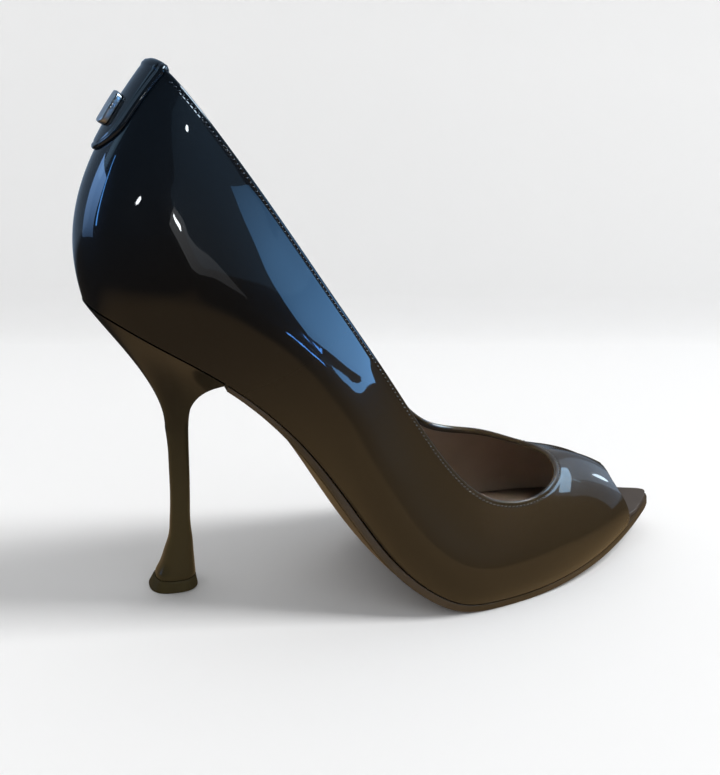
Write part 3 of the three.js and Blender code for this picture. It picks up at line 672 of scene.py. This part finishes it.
def planSides(insetAt):
    # the feather edge's plan moved in by an inset, as two readers of across by along, with its ends
    station = np.linspace(-1.5, rowCount - 1.5, 12001)
    plan, out = planAt(station, 0)
    moved = plan - out[:, :2] * insetAt(station)[:, None]
    tip = int(np.argmax(moved[:3000, 0]))
    back = int(np.argmin(moved[:, 0]))
    lateral, medial = moved[tip:back + 1], np.concatenate([moved[back:], moved[:tip + 1]])

    def sides(along):
        return (np.interp(along, lateral[::-1, 0], lateral[::-1, 1]),
                np.interp(along, medial[:, 0], medial[:, 1]))
    return moved[tip, 0], moved[back, 0], sides


def makeSlab(name, across, look, insetAt, start, materials, node):
    # a profile carried along the sole's centre line; across holds share, inset, depth and dome columns
    tip, back, sides = planSides(insetAt)
    first = back if start is None else start
    turn = np.linspace(0, 1, look["steps"] + 1)
    pace = (1 - np.cos(np.pi * turn)) / 2 if start is None else np.sin(np.pi / 2 * turn)
    along = (first + (tip - first) * pace)[:, None]
    height, outAlong, outUp = soleLine(along)
    lateral, medial = sides(along)
    middle, half = (lateral + medial) / 2, np.maximum((medial - lateral) / 2, 0)
    square = 0 if start is None else 1 - smoothStep((along - first) / look["endRun"])
    share, inset, depth, dome = (across[None, :, k] for k in range(4))
    reach = half * share - np.sign(share) * np.minimum(inset, half * 0.3)
    out = look["surface"] - depth * look["thickness"](along) - dome * look["dome"](along)
    x = along + outAlong * out * (1 - square)
    z = np.maximum(height + out * (outUp * (1 - square) + square / outUp), 0)
    points = np.stack([x, middle + reach, z], -1)
    rows, columns = points.shape[:2]
    faces = gridFaces(rows, columns, False, True)
    if start is not None:
        heart = points[0].mean(0)
        points = np.concatenate([np.broadcast_to(heart, (1, columns, 3)), points])
        faces = gridFaces(rows + 1, columns, False, True)
    return makePiece(name, points.reshape(-1, 3), faces, materials, node, None, 35)


def roundEdge(inset, top, steps):
    # quarter round at a slab's upper edge, as share, inset, depth and dome
    angle = np.linspace(0, np.pi / 2, steps)
    return np.stack([np.ones(steps), inset * (1 - np.cos(angle)), top * (1 - np.sin(angle)), 0 * angle], 1)


def mirrored(half):
    # the half profile on the medial side, then its mirror on the lateral side, as one loop
    other = half[::-1].copy()
    other[:, 0] *= -1
    return np.concatenate([half, other])


insoleLook = {"steps": 220, "surface": 1.6, "endRun": 12.0, "thickness": lambda along: 1.6 + 0 * along,
              "dome": lambda along: 0 * along}


def insoleInset(station):
    half = backStation
    away = np.abs(np.mod(station + half, rowCount) - half)
    return mix(0.8, 2.0, smoothStep((away - 1.2) / 0.6))


def makeInsole():
    under = np.array([(0.02, 0, 1, 0), (0.5, 0, 1, 0), (0.97, 0, 1, 0), (1, 0, 1, 0)], float)
    edge = roundEdge(0.6, 0.45, 7)
    share = np.linspace(0.96, 0.02, 16)
    top = np.stack([share, 0 * share, -0.06 * (1 - share ** 6), 0 * share], 1)
    return makeSlab("insole_sock", mirrored(np.concatenate([under, edge, top])), insoleLook, insoleInset,
                    None, [insoleSkin], "insole")


makeInsole()

outsoleLook = {
    "steps": 260, "surface": -0.3, "endRun": 12.0, "start": 12.8,
    "thickness": lambda along: 1.5 + 1.3 * smoothStep((along - 12.8) / 45),
    "dome": lambda along: 2.6 * np.sin(np.pi * np.clip((along - 28) / 72, 0, 1)),
}


def makeOutsole():
    share = np.linspace(0.02, 0.985, 18)
    under = np.stack([share, 0 * share, 1 + 0 * share, 1 - share ** 2], 1)
    angle = np.linspace(0, np.pi / 2, 6)
    bevel = np.stack([np.ones(6), 0.7 * (1 - np.sin(angle)), 1 - 0.25 * (1 - np.cos(angle)), 0 * angle], 1)
    side = np.array([(1, 0, 0.5, 0), (1, 0, 0.25, 0), (1, 0.05, 0.06, 0), (1, 0.2, 0, 0), (0.5, 0, 0, 0), (0.02, 0, 0, 0)], float)
    return makeSlab("outsole_leather", mirrored(np.concatenate([under, bevel, side])), outsoleLook,
                    lambda station: 0 * station, outsoleLook["start"], [soleLeather], "outsole")


makeOutsole()


# heel

heelLook = {
    "neckHeight": 60.0, "treadLength": 17.2, "topPiece": 4.0, "breast": 12.5, "corner": 50.0,
    "squareness": 2.6, "breastSteps": 28, "seatSteps": 56, "stemRows": 60, "flareRows": 56,
}
flareFront = {"rise": 0.62, "sweep": 0.42, "drop": 0.16}
flareBack = {"rise": 0.34, "sweep": 0.29, "drop": 0.25}
# rows up the stem: share of the neck's height, then back, front and half width by the tread's length
stemRows = np.array([
    (0.000, -0.523, 0.477, 0.419), (0.070, -0.407, 0.430, 0.355), (0.158, -0.273, 0.401, 0.291),
    (0.238, -0.192, 0.378, 0.250), (0.317, -0.116, 0.355, 0.215), (0.417, -0.093, 0.314, 0.192),
    (0.567, -0.087, 0.302, 0.186), (0.750, -0.110, 0.285, 0.192), (0.883, -0.134, 0.267, 0.203),
    (1.000, -0.186, 0.256, 0.227),
])
stemDense = tableCurve(stemRows)(np.linspace(0, len(stemRows) - 1, 2001))


def stemLoop(height, angle, inset=0):
    # rounded square: half sizes times sign(cos) |cos|^(2/p), between the stem's back and front
    share = height / heelLook["neckHeight"]
    back, front, half = (np.interp(share, stemDense[:, 0], stemDense[:, k]) for k in (1, 2, 3))
    size = heelLook["treadLength"]
    power = 2 / heelLook["squareness"]
    cos, sin = np.cos(angle), np.sin(angle)
    halfAlong = (front - back) / 2 * size - inset
    x = (front + back) / 2 * size + halfAlong * np.sign(cos) * np.abs(cos) ** power
    y = (half * size - inset) * np.sign(sin) * np.abs(sin) ** power
    return np.stack([x, y, height + 0 * angle], -1)


def seatLoop():
    # the feather edge's plan under the seat, closed in front by the straight breast
    tip, back, sides = planSides(lambda station: 0 * station)
    front, corner = heelLook["breast"], math.radians(heelLook["corner"])
    lateral, medial = sides(np.array([front]))
    t = np.arange(heelLook["breastSteps"]) / heelLook["breastSteps"]
    i = np.arange(heelLook["seatSteps"] + 1)
    x = front + (back - front) * np.sin(np.pi / 2 * i / heelLook["seatSteps"])
    left, right = sides(x)
    turn = corner + (np.pi - corner) * i / heelLook["seatSteps"]
    along = np.concatenate([front + 0 * t, x, x[1:-1][::-1]])
    across = np.concatenate([mix(lateral, medial, t), right, left[1:-1][::-1]])
    angle = np.concatenate([mix(-corner, corner, t), turn, -turn[1:-1][::-1]])
    height, outAlong, outUp = soleLine(along)
    gap = shoe["gap"]
    return np.stack([along - outAlong * gap, across, height - outUp * gap], -1), angle


def makeHeel():
    # level stem loops, then from each neck point a cubic out to its point of the seat
    seat, angle = seatLoop()
    foot = heelLook["topPiece"] + shoe["gap"]
    height = np.linspace(foot, heelLook["neckHeight"], heelLook["stemRows"])
    soften = 0.35 * np.clip(1 - (height - foot) / 0.6, 0, 1) ** 2
    stem = stemLoop(height[:, None], angle[None, :], soften[:, None])
    neck = stemLoop(heelLook["neckHeight"] + 0 * angle, angle)
    backward = ((1 - np.cos(angle)) / 2)[:, None]
    rise, sweep, drop = (mix(flareFront[key], flareBack[key], backward) for key in ("rise", "sweep", "drop"))
    climb = (seat - neck)[:, 2:3] * np.array([0, 0, 1])
    low = neck + climb * rise
    high = seat + (neck - seat) * np.array([1, 1, 0]) * sweep - climb * drop
    t = np.linspace(0, 1, heelLook["flareRows"] + 1)[1:, None, None]
    flare = neck * (1 - t) ** 3 + 3 * low * t * (1 - t) ** 2 + 3 * high * t * t * (1 - t) + seat * t ** 3
    inner = mix(seat, seat.mean(0), 0.5)
    inner[:, 2] = soleLine(inner[:, 0])[0] - shoe["gap"] / soleLine(inner[:, 0])[2]
    heart = inner * 0 + inner.mean(0)
    bottom = stem[:1] * 0 + stem[:1].mean(1, keepdims=True)
    loops = np.concatenate([bottom, stem, flare, inner[None], heart[None]])
    faces = gridFaces(len(loops), len(angle), False, True)
    return makePiece("heel_cover", loops.reshape(-1, 3), faces, [heelCover], "heel", None, 38)


makeHeel()

topPieceLook = {"count": 96, "edge": 0.5, "rows": 10}


def makeTopPiece():
    # level loops with a quarter round at the tread
    angle = np.linspace(0, 2 * np.pi, topPieceLook["count"], endpoint=False)
    edge = topPieceLook["edge"]
    turn = np.linspace(0, np.pi / 2, 6)
    height = np.concatenate([edge * (1 - np.cos(turn)), np.linspace(edge, heelLook["topPiece"], topPieceLook["rows"])[1:]])
    inset = np.concatenate([edge * (1 - np.sin(turn)), np.zeros(topPieceLook["rows"] - 1)])
    inset[-1] = 0.2
    loops = stemLoop(height[:, None], angle[None, :], inset[:, None])
    bottom, top = (loops[k:k + 1] * 0 + loops[k:k + 1].mean(1, keepdims=True) for k in (0, len(loops) - 1))
    loops = np.concatenate([bottom, loops, top[:1] if len(top) else top])
    faces = gridFaces(len(loops), len(angle), False, True)
    return makePiece("top_piece_rubber", loops.reshape(-1, 3), faces, [rubber], "top_piece", None, 40)


makeTopPiece()


# heel tab and plate

tabLook = {
    "length": 30.0, "width": 30.0, "low": 0.28, "high": 1.3, "edge": 1.1, "wrap": 3.4, "roundFrom": 0.62,
    "rows": 110, "columns": 64, "rim": 0.16, "rimAt": 1.9, "rimWidth": 0.35,
}
tabRows = np.array([(0.0, 0.38), (0.25, 0.39), (0.5, 0.39), (0.75, 0.38), (1.0, 0.36)])


def rimSurface(station, under, lift):
    # a point lifted off the upper's own section: outer face, half round over the edge, inner face
    flat, far = station.ravel(), under.ravel()
    radius = upperLook["edgeRadius"]
    arc = np.pi * radius
    outside = np.maximum(far, radius)
    inside = radius + np.maximum(radius - arc - far, 0)
    share = shareUnder(flat, np.stack([outside, inside, radius + 0 * far], 1))
    point, normal, up = skinFrame(flat[:, None], share)
    turn = np.clip((radius - far) / radius, 0, np.pi)[:, None]
    outPoint = point[:, 0] + normal[:, 0] * bandLift(outside)[:, None]
    inPoint = point[:, 1] + normal[:, 1] * innerLift(inside)[:, None]
    first = point[:, 2] + normal[:, 2] * bandLift(radius + 0 * far)[:, None]
    last = point[:, 2] + normal[:, 2] * innerLift(radius + 0 * far)[:, None]
    capPoint = (first + last) / 2 + (first - last) / 2 * np.cos(turn) + up[:, 2] * radius * np.sin(turn)
    capNormal = normal[:, 2] * np.cos(turn) + up[:, 2] * np.sin(turn)
    onCap = ((far < radius) & (far > radius - arc))[:, None]
    isOut = (far >= radius)[:, None]
    place = np.where(isOut, outPoint, np.where(onCap, capPoint, inPoint))
    away = np.where(isOut, normal[:, 0], np.where(onCap, capNormal, -normal[:, 1]))
    return (place + away * lift.ravel()[:, None]).reshape(station.shape + (3,))


def backPace(under):
    # stations per millimetre across the back at a distance under the topline
    near = backStation + np.array([-0.1, 0.1])[:, None] + 0 * under[None]
    share = shareUnder(near.ravel(), np.tile(np.maximum(under, 0.8), 2)[:, None])[:, 0]
    point, _, _ = skinFrame(near.ravel(), share)
    pair = point.reshape(2, -1, 3)
    return 0.2 / np.linalg.norm(pair[1] - pair[0], axis=1)


def makeOverlay(name, under, half, low, thickness, materials, node, columns):
    # two sheets over one plan, the upper one at low plus its thickness, closed along the rim
    across = np.sin(np.linspace(-np.pi / 2, np.pi / 2, columns + 1))[None, :]
    station = backStation + across * (half * backPace(under))[:, None]
    down = under[:, None] + 0 * across
    top = rimSurface(station, down, low + thickness(across, down))
    bottom = rimSurface(station, down, low + 0 * down)
    loop = np.concatenate([top, bottom[:, ::-1]], 1)
    loop = np.concatenate([loop[:1] * 0 + mix(top[:1], bottom[:1], 0.5).mean(1, keepdims=True), loop,
                           loop[-1:] * 0 + mix(top[-1:], bottom[-1:], 0.5).mean(1, keepdims=True)])
    faces = gridFaces(loop.shape[0], loop.shape[1], False, True)
    return makePiece(name, loop.reshape(-1, 3), faces, materials, node, None, 50)


def makeTab():
    # straight sides, an elliptic end and a wrap over the topline; its thickness rounds off at the edge
    t = np.linspace(0, 1, tabLook["rows"])
    under = mix(-tabLook["wrap"], tabLook["length"], np.sin(np.pi / 2 * t) ** 1.0)
    down = np.clip(under / tabLook["length"], 0, 1)
    row = tableCurve(tabRows)(np.interp(down, tabRows[:, 0], np.arange(len(tabRows))))
    closing = np.sqrt(np.clip(1 - ((down - tabLook["roundFrom"]) / (1 - tabLook["roundFrom"])) ** 2, 0, 1))
    half = tabLook["width"] * row[:, 1] * np.where(down > tabLook["roundFrom"], closing, 1)

    def thickness(across, place):
        side = (1 - np.abs(across)) * np.maximum(half, 0.01)[:, None]
        end = (tabLook["length"] - place) * 1.0
        near = np.minimum(side, np.minimum(end, place + tabLook["wrap"]))
        rounded = np.sqrt(np.clip(1 - (1 - np.clip(near / tabLook["edge"], 0, 1)) ** 2, 0, 1))
        groove = np.exp(-((near - tabLook["rimAt"]) / tabLook["rimWidth"]) ** 2)
        return (tabLook["high"] - tabLook["low"]) * rounded - tabLook["rim"] * groove
    return makeOverlay("heel_tab_skin", under, half, tabLook["low"], thickness, [patent], "heel_tab",
                       tabLook["columns"])


makeTab()

plateLook = {"drop": 12.0, "length": 10.5, "width": 10.0, "low": 1.55, "high": 3.4, "edge": 0.7, "rows": 60,
             "columns": 40, "squareness": 8, "cornerPower": 0.35}


def makePlate():
    # a plain rounded plate with a soft bevel
    t = np.linspace(0, 1, plateLook["rows"])
    under = plateLook["drop"] + plateLook["length"] * (1 - np.cos(np.pi * t)) / 2
    half = plateLook["width"] / 2 * (1 - np.cos(np.pi * t) ** plateLook["squareness"]) ** plateLook["cornerPower"]

    def thickness(across, place):
        side = (1 - np.abs(across)) * np.maximum(half, 0.01)[:, None]
        end = np.minimum(place - plateLook["drop"], plateLook["drop"] + plateLook["length"] - place)
        near = np.minimum(side, end)
        rounded = np.sqrt(np.clip(1 - (1 - np.clip(near / plateLook["edge"], 0, 1)) ** 2, 0, 1))
        return (plateLook["high"] - plateLook["low"]) * mix(0.55, 1.0, rounded) * (near > 1e-6)
    return makeOverlay("tab_plate_metal", under, half, plateLook["low"], thickness, [metal], "tab_plate",
                       plateLook["columns"])


makePlate()
print("shoe made")


# camera

cameraLook = {
    "behind": 20.47, "above": 20.81, "roll": 4.20, "target": (64.84, 0.0, 70.56), "distance": 350.0,
    "focal": 995.3, "width": 720, "height": 775, "sensor": 36.0,
}


def cameraFrame():
    # right, up and back directions from the view's angles, then turned by the roll
    side, rise, roll = (math.radians(cameraLook[key]) for key in ("behind", "above", "roll"))
    back = np.array([-math.sin(side) * math.cos(rise), -math.cos(side) * math.cos(rise), math.sin(rise)])
    right = unit(np.cross(-back, (0, 0, 1)))
    up = np.cross(right, -back)
    turnedRight = math.cos(roll) * right + math.sin(roll) * up
    turnedUp = math.cos(roll) * up - math.sin(roll) * right
    place = np.array(cameraLook["target"]) + back * cameraLook["distance"]
    return place * 0.001, turnedRight, turnedUp, back


cameraPlace, cameraRight, cameraUp, cameraBack = cameraFrame()
cameraData = bpy.data.cameras.new("camera")
cameraData.sensor_width = cameraLook["sensor"]
cameraData.lens = cameraLook["focal"] * cameraLook["sensor"] / cameraLook["height"]
cameraData.clip_start = 0.01
cameraData.clip_end = 50
camera = bpy.data.objects.new("camera", cameraData)
camera.matrix_world = Matrix([
    (cameraRight[k], cameraUp[k], cameraBack[k], cameraPlace[k]) for k in range(3)] + [(0, 0, 0, 1)])
bpy.context.scene.collection.objects.link(camera)
bpy.context.scene.camera = camera


# stage

# the mirrored colours are painted reflection: the stage glows in them for glossy rays only
stageLook = {"mirroredTop": 0.05, "edgeRow": 345, "coveRadius": 0.03, "wallHeight": 2.2, "front": 1.6, "sides": 3.0,
             "depthRun": (0.02, 0.35), "depthColor": (0.86, 0.77), "mirroredFloor": (0.32, 0.215, 0.108),
             "mirroredFar": (0.03, 0.026, 0.022), "mirroredWall": (0.20, 0.28, 0.39), "footGlow": 0.22, "glowTop": 0.17, "wallGlow": 0.06,
             "mirrorNear": 0.13, "mirrorReach": 0.23}


def floorPoint(u, v):
    # where the ray of one picture point meets the floor
    ray = (cameraRight * (u - cameraLook["width"] / 2) - cameraUp * (v - cameraLook["height"] / 2)) \
        / cameraLook["focal"] - cameraBack
    return cameraPlace - ray * cameraPlace[2] / ray[2]


def paintFloorReflection(tree, shader):
    # painted reflection: for glossy rays the stage glows warm brown round the shoe, dimmer further off and grey-blue on
    # the wall;
    # the camera and the soft light see the stage pale
    light = newNode(tree, "ShaderNodeLightPath", (-300, 300))
    spot = newNode(tree, "ShaderNodeNewGeometry", (-1300, -200))
    split = newNode(tree, "ShaderNodeSeparateXYZ", (-1100, -200))
    flat = newNode(tree, "ShaderNodeVectorMath", (-900, -100), operation="MULTIPLY")
    flat.inputs[1].default_value = (0.7, 1, 0)
    away = newNode(tree, "ShaderNodeVectorMath", (-700, -100), operation="DISTANCE")
    away.inputs[1].default_value = (0, -0.10, 0)
    fade = newNode(tree, "ShaderNodeMapRange", (-500, -100), interpolation_type="SMOOTHSTEP")
    fade.inputs["From Min"].default_value = stageLook["mirrorNear"]
    fade.inputs["From Max"].default_value = stageLook["mirrorReach"]
    rise = newNode(tree, "ShaderNodeMapRange", (-500, -350), interpolation_type="SMOOTHSTEP")
    rise.inputs["From Min"].default_value = 0
    rise.inputs["From Max"].default_value = stageLook["mirroredTop"]
    ground = newNode(tree, "ShaderNodeMix", (-300, -100), data_type="RGBA")
    ground.inputs[6].default_value = stageLook["mirroredFloor"] + (1,)
    ground.inputs[7].default_value = stageLook["mirroredFar"] + (1,)
    whole = newNode(tree, "ShaderNodeMix", (-150, -200), data_type="RGBA")
    whole.inputs[7].default_value = stageLook["mirroredWall"] + (1,)
    paintedReflectionGlow = newNode(tree, "ShaderNodeEmission", (50, -200))
    blend = newNode(tree, "ShaderNodeMixShader", (300, 0))
    tree.links.new(spot.outputs["Position"], split.inputs[0])
    tree.links.new(spot.outputs["Position"], flat.inputs[0])
    tree.links.new(flat.outputs[0], away.inputs[0])
    tree.links.new(away.outputs["Value"], fade.inputs["Value"])
    tree.links.new(split.outputs["Z"], rise.inputs["Value"])
    tree.links.new(fade.outputs[0], ground.inputs[0])
    tree.links.new(ground.outputs[2], whole.inputs[6])
    tree.links.new(rise.outputs[0], whole.inputs[0])
    tree.links.new(whole.outputs[2], paintedReflectionGlow.inputs["Color"])
    depth = newNode(tree, "ShaderNodeMapRange", (-500, 900))
    depth.inputs["From Min"].default_value, depth.inputs["From Max"].default_value = stageLook["depthRun"]
    depth.inputs["To Min"].default_value, depth.inputs["To Max"].default_value = stageLook["depthColor"]
    tree.links.new(split.outputs["Y"], depth.inputs["Value"])
    tree.links.new(depth.outputs[0], shader.inputs["Base Color"])
    facing = newNode(tree, "ShaderNodeSeparateXYZ", (-500, 300))
    upright = newNode(tree, "ShaderNodeMapRange", (-300, 500))
    upright.inputs["From Min"].default_value = 1
    upright.inputs["From Max"].default_value = 0
    upright.inputs["To Max"].default_value = stageLook["footGlow"]
    height = newNode(tree, "ShaderNodeMapRange", (-300, 700))
    height.inputs["From Min"].default_value = stageLook["coveRadius"]
    height.inputs["From Max"].default_value = stageLook["glowTop"]
    height.inputs["To Max"].default_value = stageLook["wallGlow"]
    strength = newNode(tree, "ShaderNodeMath", (-100, 600), operation="ADD")
    tree.links.new(spot.outputs["Normal"], facing.inputs[0])
    tree.links.new(facing.outputs["Z"], upright.inputs["Value"])
    tree.links.new(split.outputs["Z"], height.inputs["Value"])
    tree.links.new(upright.outputs[0], strength.inputs[0])
    tree.links.new(height.outputs[0], strength.inputs[1])
    tree.links.new(strength.outputs[0], shader.inputs["Emission Strength"])
    tree.links.new(light.outputs["Is Glossy Ray"], blend.inputs[0])
    tree.links.new(shader.outputs[0], blend.inputs[1])
    tree.links.new(paintedReflectionGlow.outputs[0], blend.inputs[2])
    # seen from behind or from below, the stage lets the view through
    rear = newNode(tree, "ShaderNodeMath", (300, 300), operation="MULTIPLY")
    clear = newNode(tree, "ShaderNodeBsdfTransparent", (300, -200))
    passing = newNode(tree, "ShaderNodeMixShader", (500, 0))
    tree.links.new(light.outputs["Is Camera Ray"], rear.inputs[0])
    tree.links.new(spot.outputs["Backfacing"], rear.inputs[1])
    tree.links.new(rear.outputs[0], passing.inputs[0])
    tree.links.new(blend.outputs[0], passing.inputs[1])
    tree.links.new(clear.outputs[0], passing.inputs[2])
    tree.links.new(passing.outputs[0], tree.nodes["Material Output"].inputs["Surface"])


def makeStage():
    # floor, quarter round and wall as one profile carried along the line where the wall stands
    left, right = (floorPoint(u, stageLook["edgeRow"]) for u in (0, cameraLook["width"]))
    side = unit(right - left)
    away = np.array([-side[1], side[0], 0])
    middle = (left + right) / 2
    radius = stageLook["coveRadius"]
    turn = np.linspace(0, np.pi / 2, 17)
    flat = np.stack([np.array([-stageLook["front"], -0.6, -0.3]), np.zeros(3)], 1)
    cove = np.stack([radius * np.sin(turn), radius * (1 - np.cos(turn))], 1)
    wall = np.array([[radius, 0.5], [radius, stageLook["wallHeight"]]])
    profile = np.concatenate([flat, cove, wall])
    ends = np.array([-stageLook["sides"], stageLook["sides"]])
    points = (middle + ends[:, None, None] * side + profile[None, :, :1] * away
              + profile[None, :, 1:] * np.array([0, 0, 1]))
    faces = gridFaces(2, len(profile))
    mesh = bpy.data.meshes.new("floor")
    mesh.from_pydata(points.reshape(-1, 3).tolist(), [], faces[:, ::-1].tolist())
    mesh.polygons.foreach_set("use_smooth", np.ones(len(faces), bool))
    material = bpy.data.materials.new("floor")
    material.use_nodes = True
    shader = material.node_tree.nodes["Principled BSDF"]
    shader.inputs["Roughness"].default_value = 0.9
    shader.inputs["Specular IOR Level"].default_value = 0.1
    shader.inputs["Emission Color"].default_value = (1, 1, 1, 1)
    mesh.materials.append(material)
    paintFloorReflection(material.node_tree, shader)
    floor = bpy.data.objects.new("floor", mesh)
    bpy.context.scene.collection.objects.link(floor)
    return floor


makeStage()


# light

# each softbox is placed from the spot that mirrors it: turn toward +X from -Y and rise, in degrees;
# "mirrored" ones are only seen in the lacquer, the others only light the shoe and the floor
lights = [
    {"name": "key", "from": (0.06, 0.0, 0.0), "turn": 77, "rise": 52, "away": 8.0, "size": (1.7, 5.8),
     "power": 468.0, "color": (1.0, 1.0, 1.0), "mirrored": False},
    {"name": "fill", "from": (0.06, 0.0, 0.05), "turn": -8, "rise": 50, "away": 4.0,
     "size": (2.0, 2.0), "power": 15.0, "color": (1.0, 1.0, 1.0), "mirrored": False, "shoeOnly": True},
    {"name": "throatLight", "from": (0.112, 0.0, 0.022), "turn": -92, "rise": 58, "away": 0.2,
     "size": (0.03, 0.03), "spread": 22, "power": 0.045, "color": (1.0, 1.0, 1.0), "mirrored": False,
     "shoeOnly": True},
    {"name": "quarterWindow", "from": (0.04, -0.028, 0.1595), "turn": 27.6, "rise": 0, "away": 0.3,
     "size": (0.136, 0.15), "lean": 7, "power": 0.29, "color": (0.185, 0.5, 1.0), "mirrored": True,
     "upward": (1.3, 0.4), "onward": (0.8, 1.85)},
    {"name": "quarterSill", "from": (0.038, -0.029, 0.0715), "turn": 15.2, "rise": 0, "away": 0.3,
     "size": (0.05, 0.0026), "lean": 7, "power": 0.0075, "color": (0.1, 0.36, 1.0), "mirrored": True},
    {"name": "counterRoom", "from": (0.0, -0.022, 0.145), "turn": 3.5, "rise": 20, "away": 1.5,
     "size": (0.78, 1.3), "lean": 24, "power": 0.75, "color": (0.36, 0.66, 1.0), "mirrored": True,
     "upward": (1.0, 0.9), "onward": (0.7, 1.5)},
    {"name": "vampWindow", "from": (0.138, -0.02, 0.036), "turn": 112, "rise": 38, "away": 0.5,
     "size": (0.3, 0.125), "power": 0.55, "color": (0.45, 0.72, 1.0), "mirrored": True},
    {"name": "vampRoom", "from": (0.155, -0.01, 0.034), "turn": 138, "rise": 16, "away": 0.4,
     "size": (0.4, 0.3), "power": 0.19, "color": (0.55, 0.74, 1.0), "mirrored": True},
    {"name": "toeGlint", "from": (0.162, -0.01, 0.032), "turn": 118, "rise": 12, "away": 0.4,
     "size": (0.016, 0.075), "power": 0.018, "color": (0.7, 0.87, 1.0), "mirrored": True, "shape": "ELLIPSE"},
    {"name": "counterWindow", "from": (-0.024, -0.012, 0.138), "turn": -140, "rise": 5, "away": 0.8,
     "size": (1.6, 0.43), "power": 7.4, "color": (0.25, 0.5, 1.0), "mirrored": True,
     "upward": (0.25, 1.6), "onward": (0.7, 1.3)},
    {"name": "counterStrip", "from": (-0.022, -0.012, 0.140), "turn": -93, "rise": 10, "away": 0.80,
     "size": (0.016, 0.355), "power": 0.22, "color": (0.10, 0.38, 1.0), "mirrored": True},
    {"name": "backSky", "from": (-0.016, -0.007, 0.165), "turn": -128, "rise": 31, "away": 1.2,
     "size": (1.2, 0.8), "power": 2.6, "color": (0.38, 0.69, 1.0), "mirrored": True},
    {"name": "glintTop", "from": (0.001, -0.018, 0.16), "turn": -1, "rise": 25.5, "away": 1.0,
     "size": (0.024, 0.03), "power": 0.075, "color": (0.85, 0.95, 1.0), "mirrored": True, "shape": "ELLIPSE"},
    {"name": "glintMiddle", "from": (-0.003, -0.023, 0.135), "turn": -6, "rise": 3, "away": 1.0,
     "size": (0.022, 0.04), "power": 0.09, "color": (0.9, 0.97, 1.0), "mirrored": True, "shape": "ELLIPSE"},
    {"name": "glintBack", "from": (-0.014, -0.019, 0.139), "turn": -40, "rise": 6, "away": 1.0,
     "size": (0.024, 0.034), "power": 0.06, "color": (0.9, 0.95, 1.0), "mirrored": True, "shape": "ELLIPSE"},
    {"name": "doorway", "from": (-0.003, -0.023, 0.128), "turn": -3, "rise": -6, "away": 0.8,
     "size": (0.32, 0.16), "lean": -54, "power": 0.085, "color": (0.95, 0.97, 1.0), "mirrored": True,
     "upward": (1.0, 1.0), "onward": (1.6, 0.3)},
    {"name": "skylight", "from": (0.1, -0.02, 0.06), "turn": 60, "rise": 60, "away": 1.0,
     "size": (0.9, 0.35), "power": 22.0, "color": (0.66, 0.84, 1.0), "mirrored": True},
]


def fadeLight(data, look):
    # brightness = a factor that runs from the lower to the upper edge times one from side to side
    data.use_nodes = True
    tree = data.node_tree
    spot = newNode(tree, "ShaderNodeNewGeometry", (-900, 0))
    split = newNode(tree, "ShaderNodeSeparateXYZ", (-700, 0))
    both = newNode(tree, "ShaderNodeMath", (-250, 0), operation="MULTIPLY")
    tree.links.new(spot.outputs["Parametric"], split.inputs[0])
    for slot, (axis, key) in enumerate((("X", "onward"), ("Y", "upward"))):
        level = newNode(tree, "ShaderNodeMapRange", (-500, -250 * slot))
        level.inputs["To Min"].default_value, level.inputs["To Max"].default_value = look[key]
        tree.links.new(split.outputs[axis], level.inputs["Value"])
        tree.links.new(level.outputs[0], both.inputs[slot])
    tree.links.new(both.outputs[0], tree.nodes["Emission"].inputs["Strength"])


def addLight(look):
    # a rectangular softbox that faces the spot it is placed from
    turn, rise = math.radians(look["turn"]), math.radians(look["rise"])
    back = np.array([math.sin(turn) * math.cos(rise), -math.cos(turn) * math.cos(rise), math.sin(rise)])
    place = np.array(look["from"]) + back * look["away"]
    level = unit(np.cross((0, 0, 1), back))
    lean = math.radians(look.get("lean", 0))
    right = math.cos(lean) * level + math.sin(lean) * np.cross(back, level)
    up = np.cross(back, right)
    data = bpy.data.lights.new(look["name"], "AREA")
    data.shape = look.get("shape", "RECTANGLE")
    data.size, data.size_y = look["size"]
    data.energy = look["power"]
    data.color = look["color"]
    data.spread = math.radians(look.get("spread", 180))
    if "upward" in look:
        fadeLight(data, look)
    light = bpy.data.objects.new(look["name"], data)
    light.visible_camera = False
    light.visible_diffuse = not look["mirrored"]
    light.visible_glossy = look["mirrored"]
    light.matrix_world = Matrix([
        (right[k], up[k], back[k], place[k]) for k in range(3)] + [(0, 0, 0, 1)])
    bpy.context.scene.collection.objects.link(light)
    if look.get("shoeOnly"):
        light.light_linking.receiver_collection = shoePieces


shoePieces = bpy.data.collections.new("shoePieces")
for piece in bpy.context.scene.objects:
    if piece.type == "MESH" and piece.name != "floor":
        shoePieces.objects.link(piece)
for look in lights:
    addLight(look)

worldLook = {"color": (1.0, 1.0, 1.0), "soft": 0.46, "mirrored": 0.03}


def makeWorld():
    # an even soft dome for the light, and a dim room in the lacquer
    world = bpy.data.worlds.new("studio")
    world.use_nodes = True
    tree = world.node_tree
    path = newNode(tree, "ShaderNodeLightPath", (-500, 0))
    level = newNode(tree, "ShaderNodeMapRange", (-300, 0))
    level.inputs["To Min"].default_value = worldLook["soft"]
    level.inputs["To Max"].default_value = worldLook["mirrored"]
    tree.links.new(path.outputs["Is Glossy Ray"], level.inputs["Value"])
    tree.links.new(level.outputs[0], tree.nodes["Background"].inputs["Strength"])
    tree.nodes["Background"].inputs["Color"].default_value = worldLook["color"] + (1,)
    bpy.context.scene.world = world


makeWorld()
bpy.context.scene.view_settings.view_transform = "Standard"
print("light and camera set")
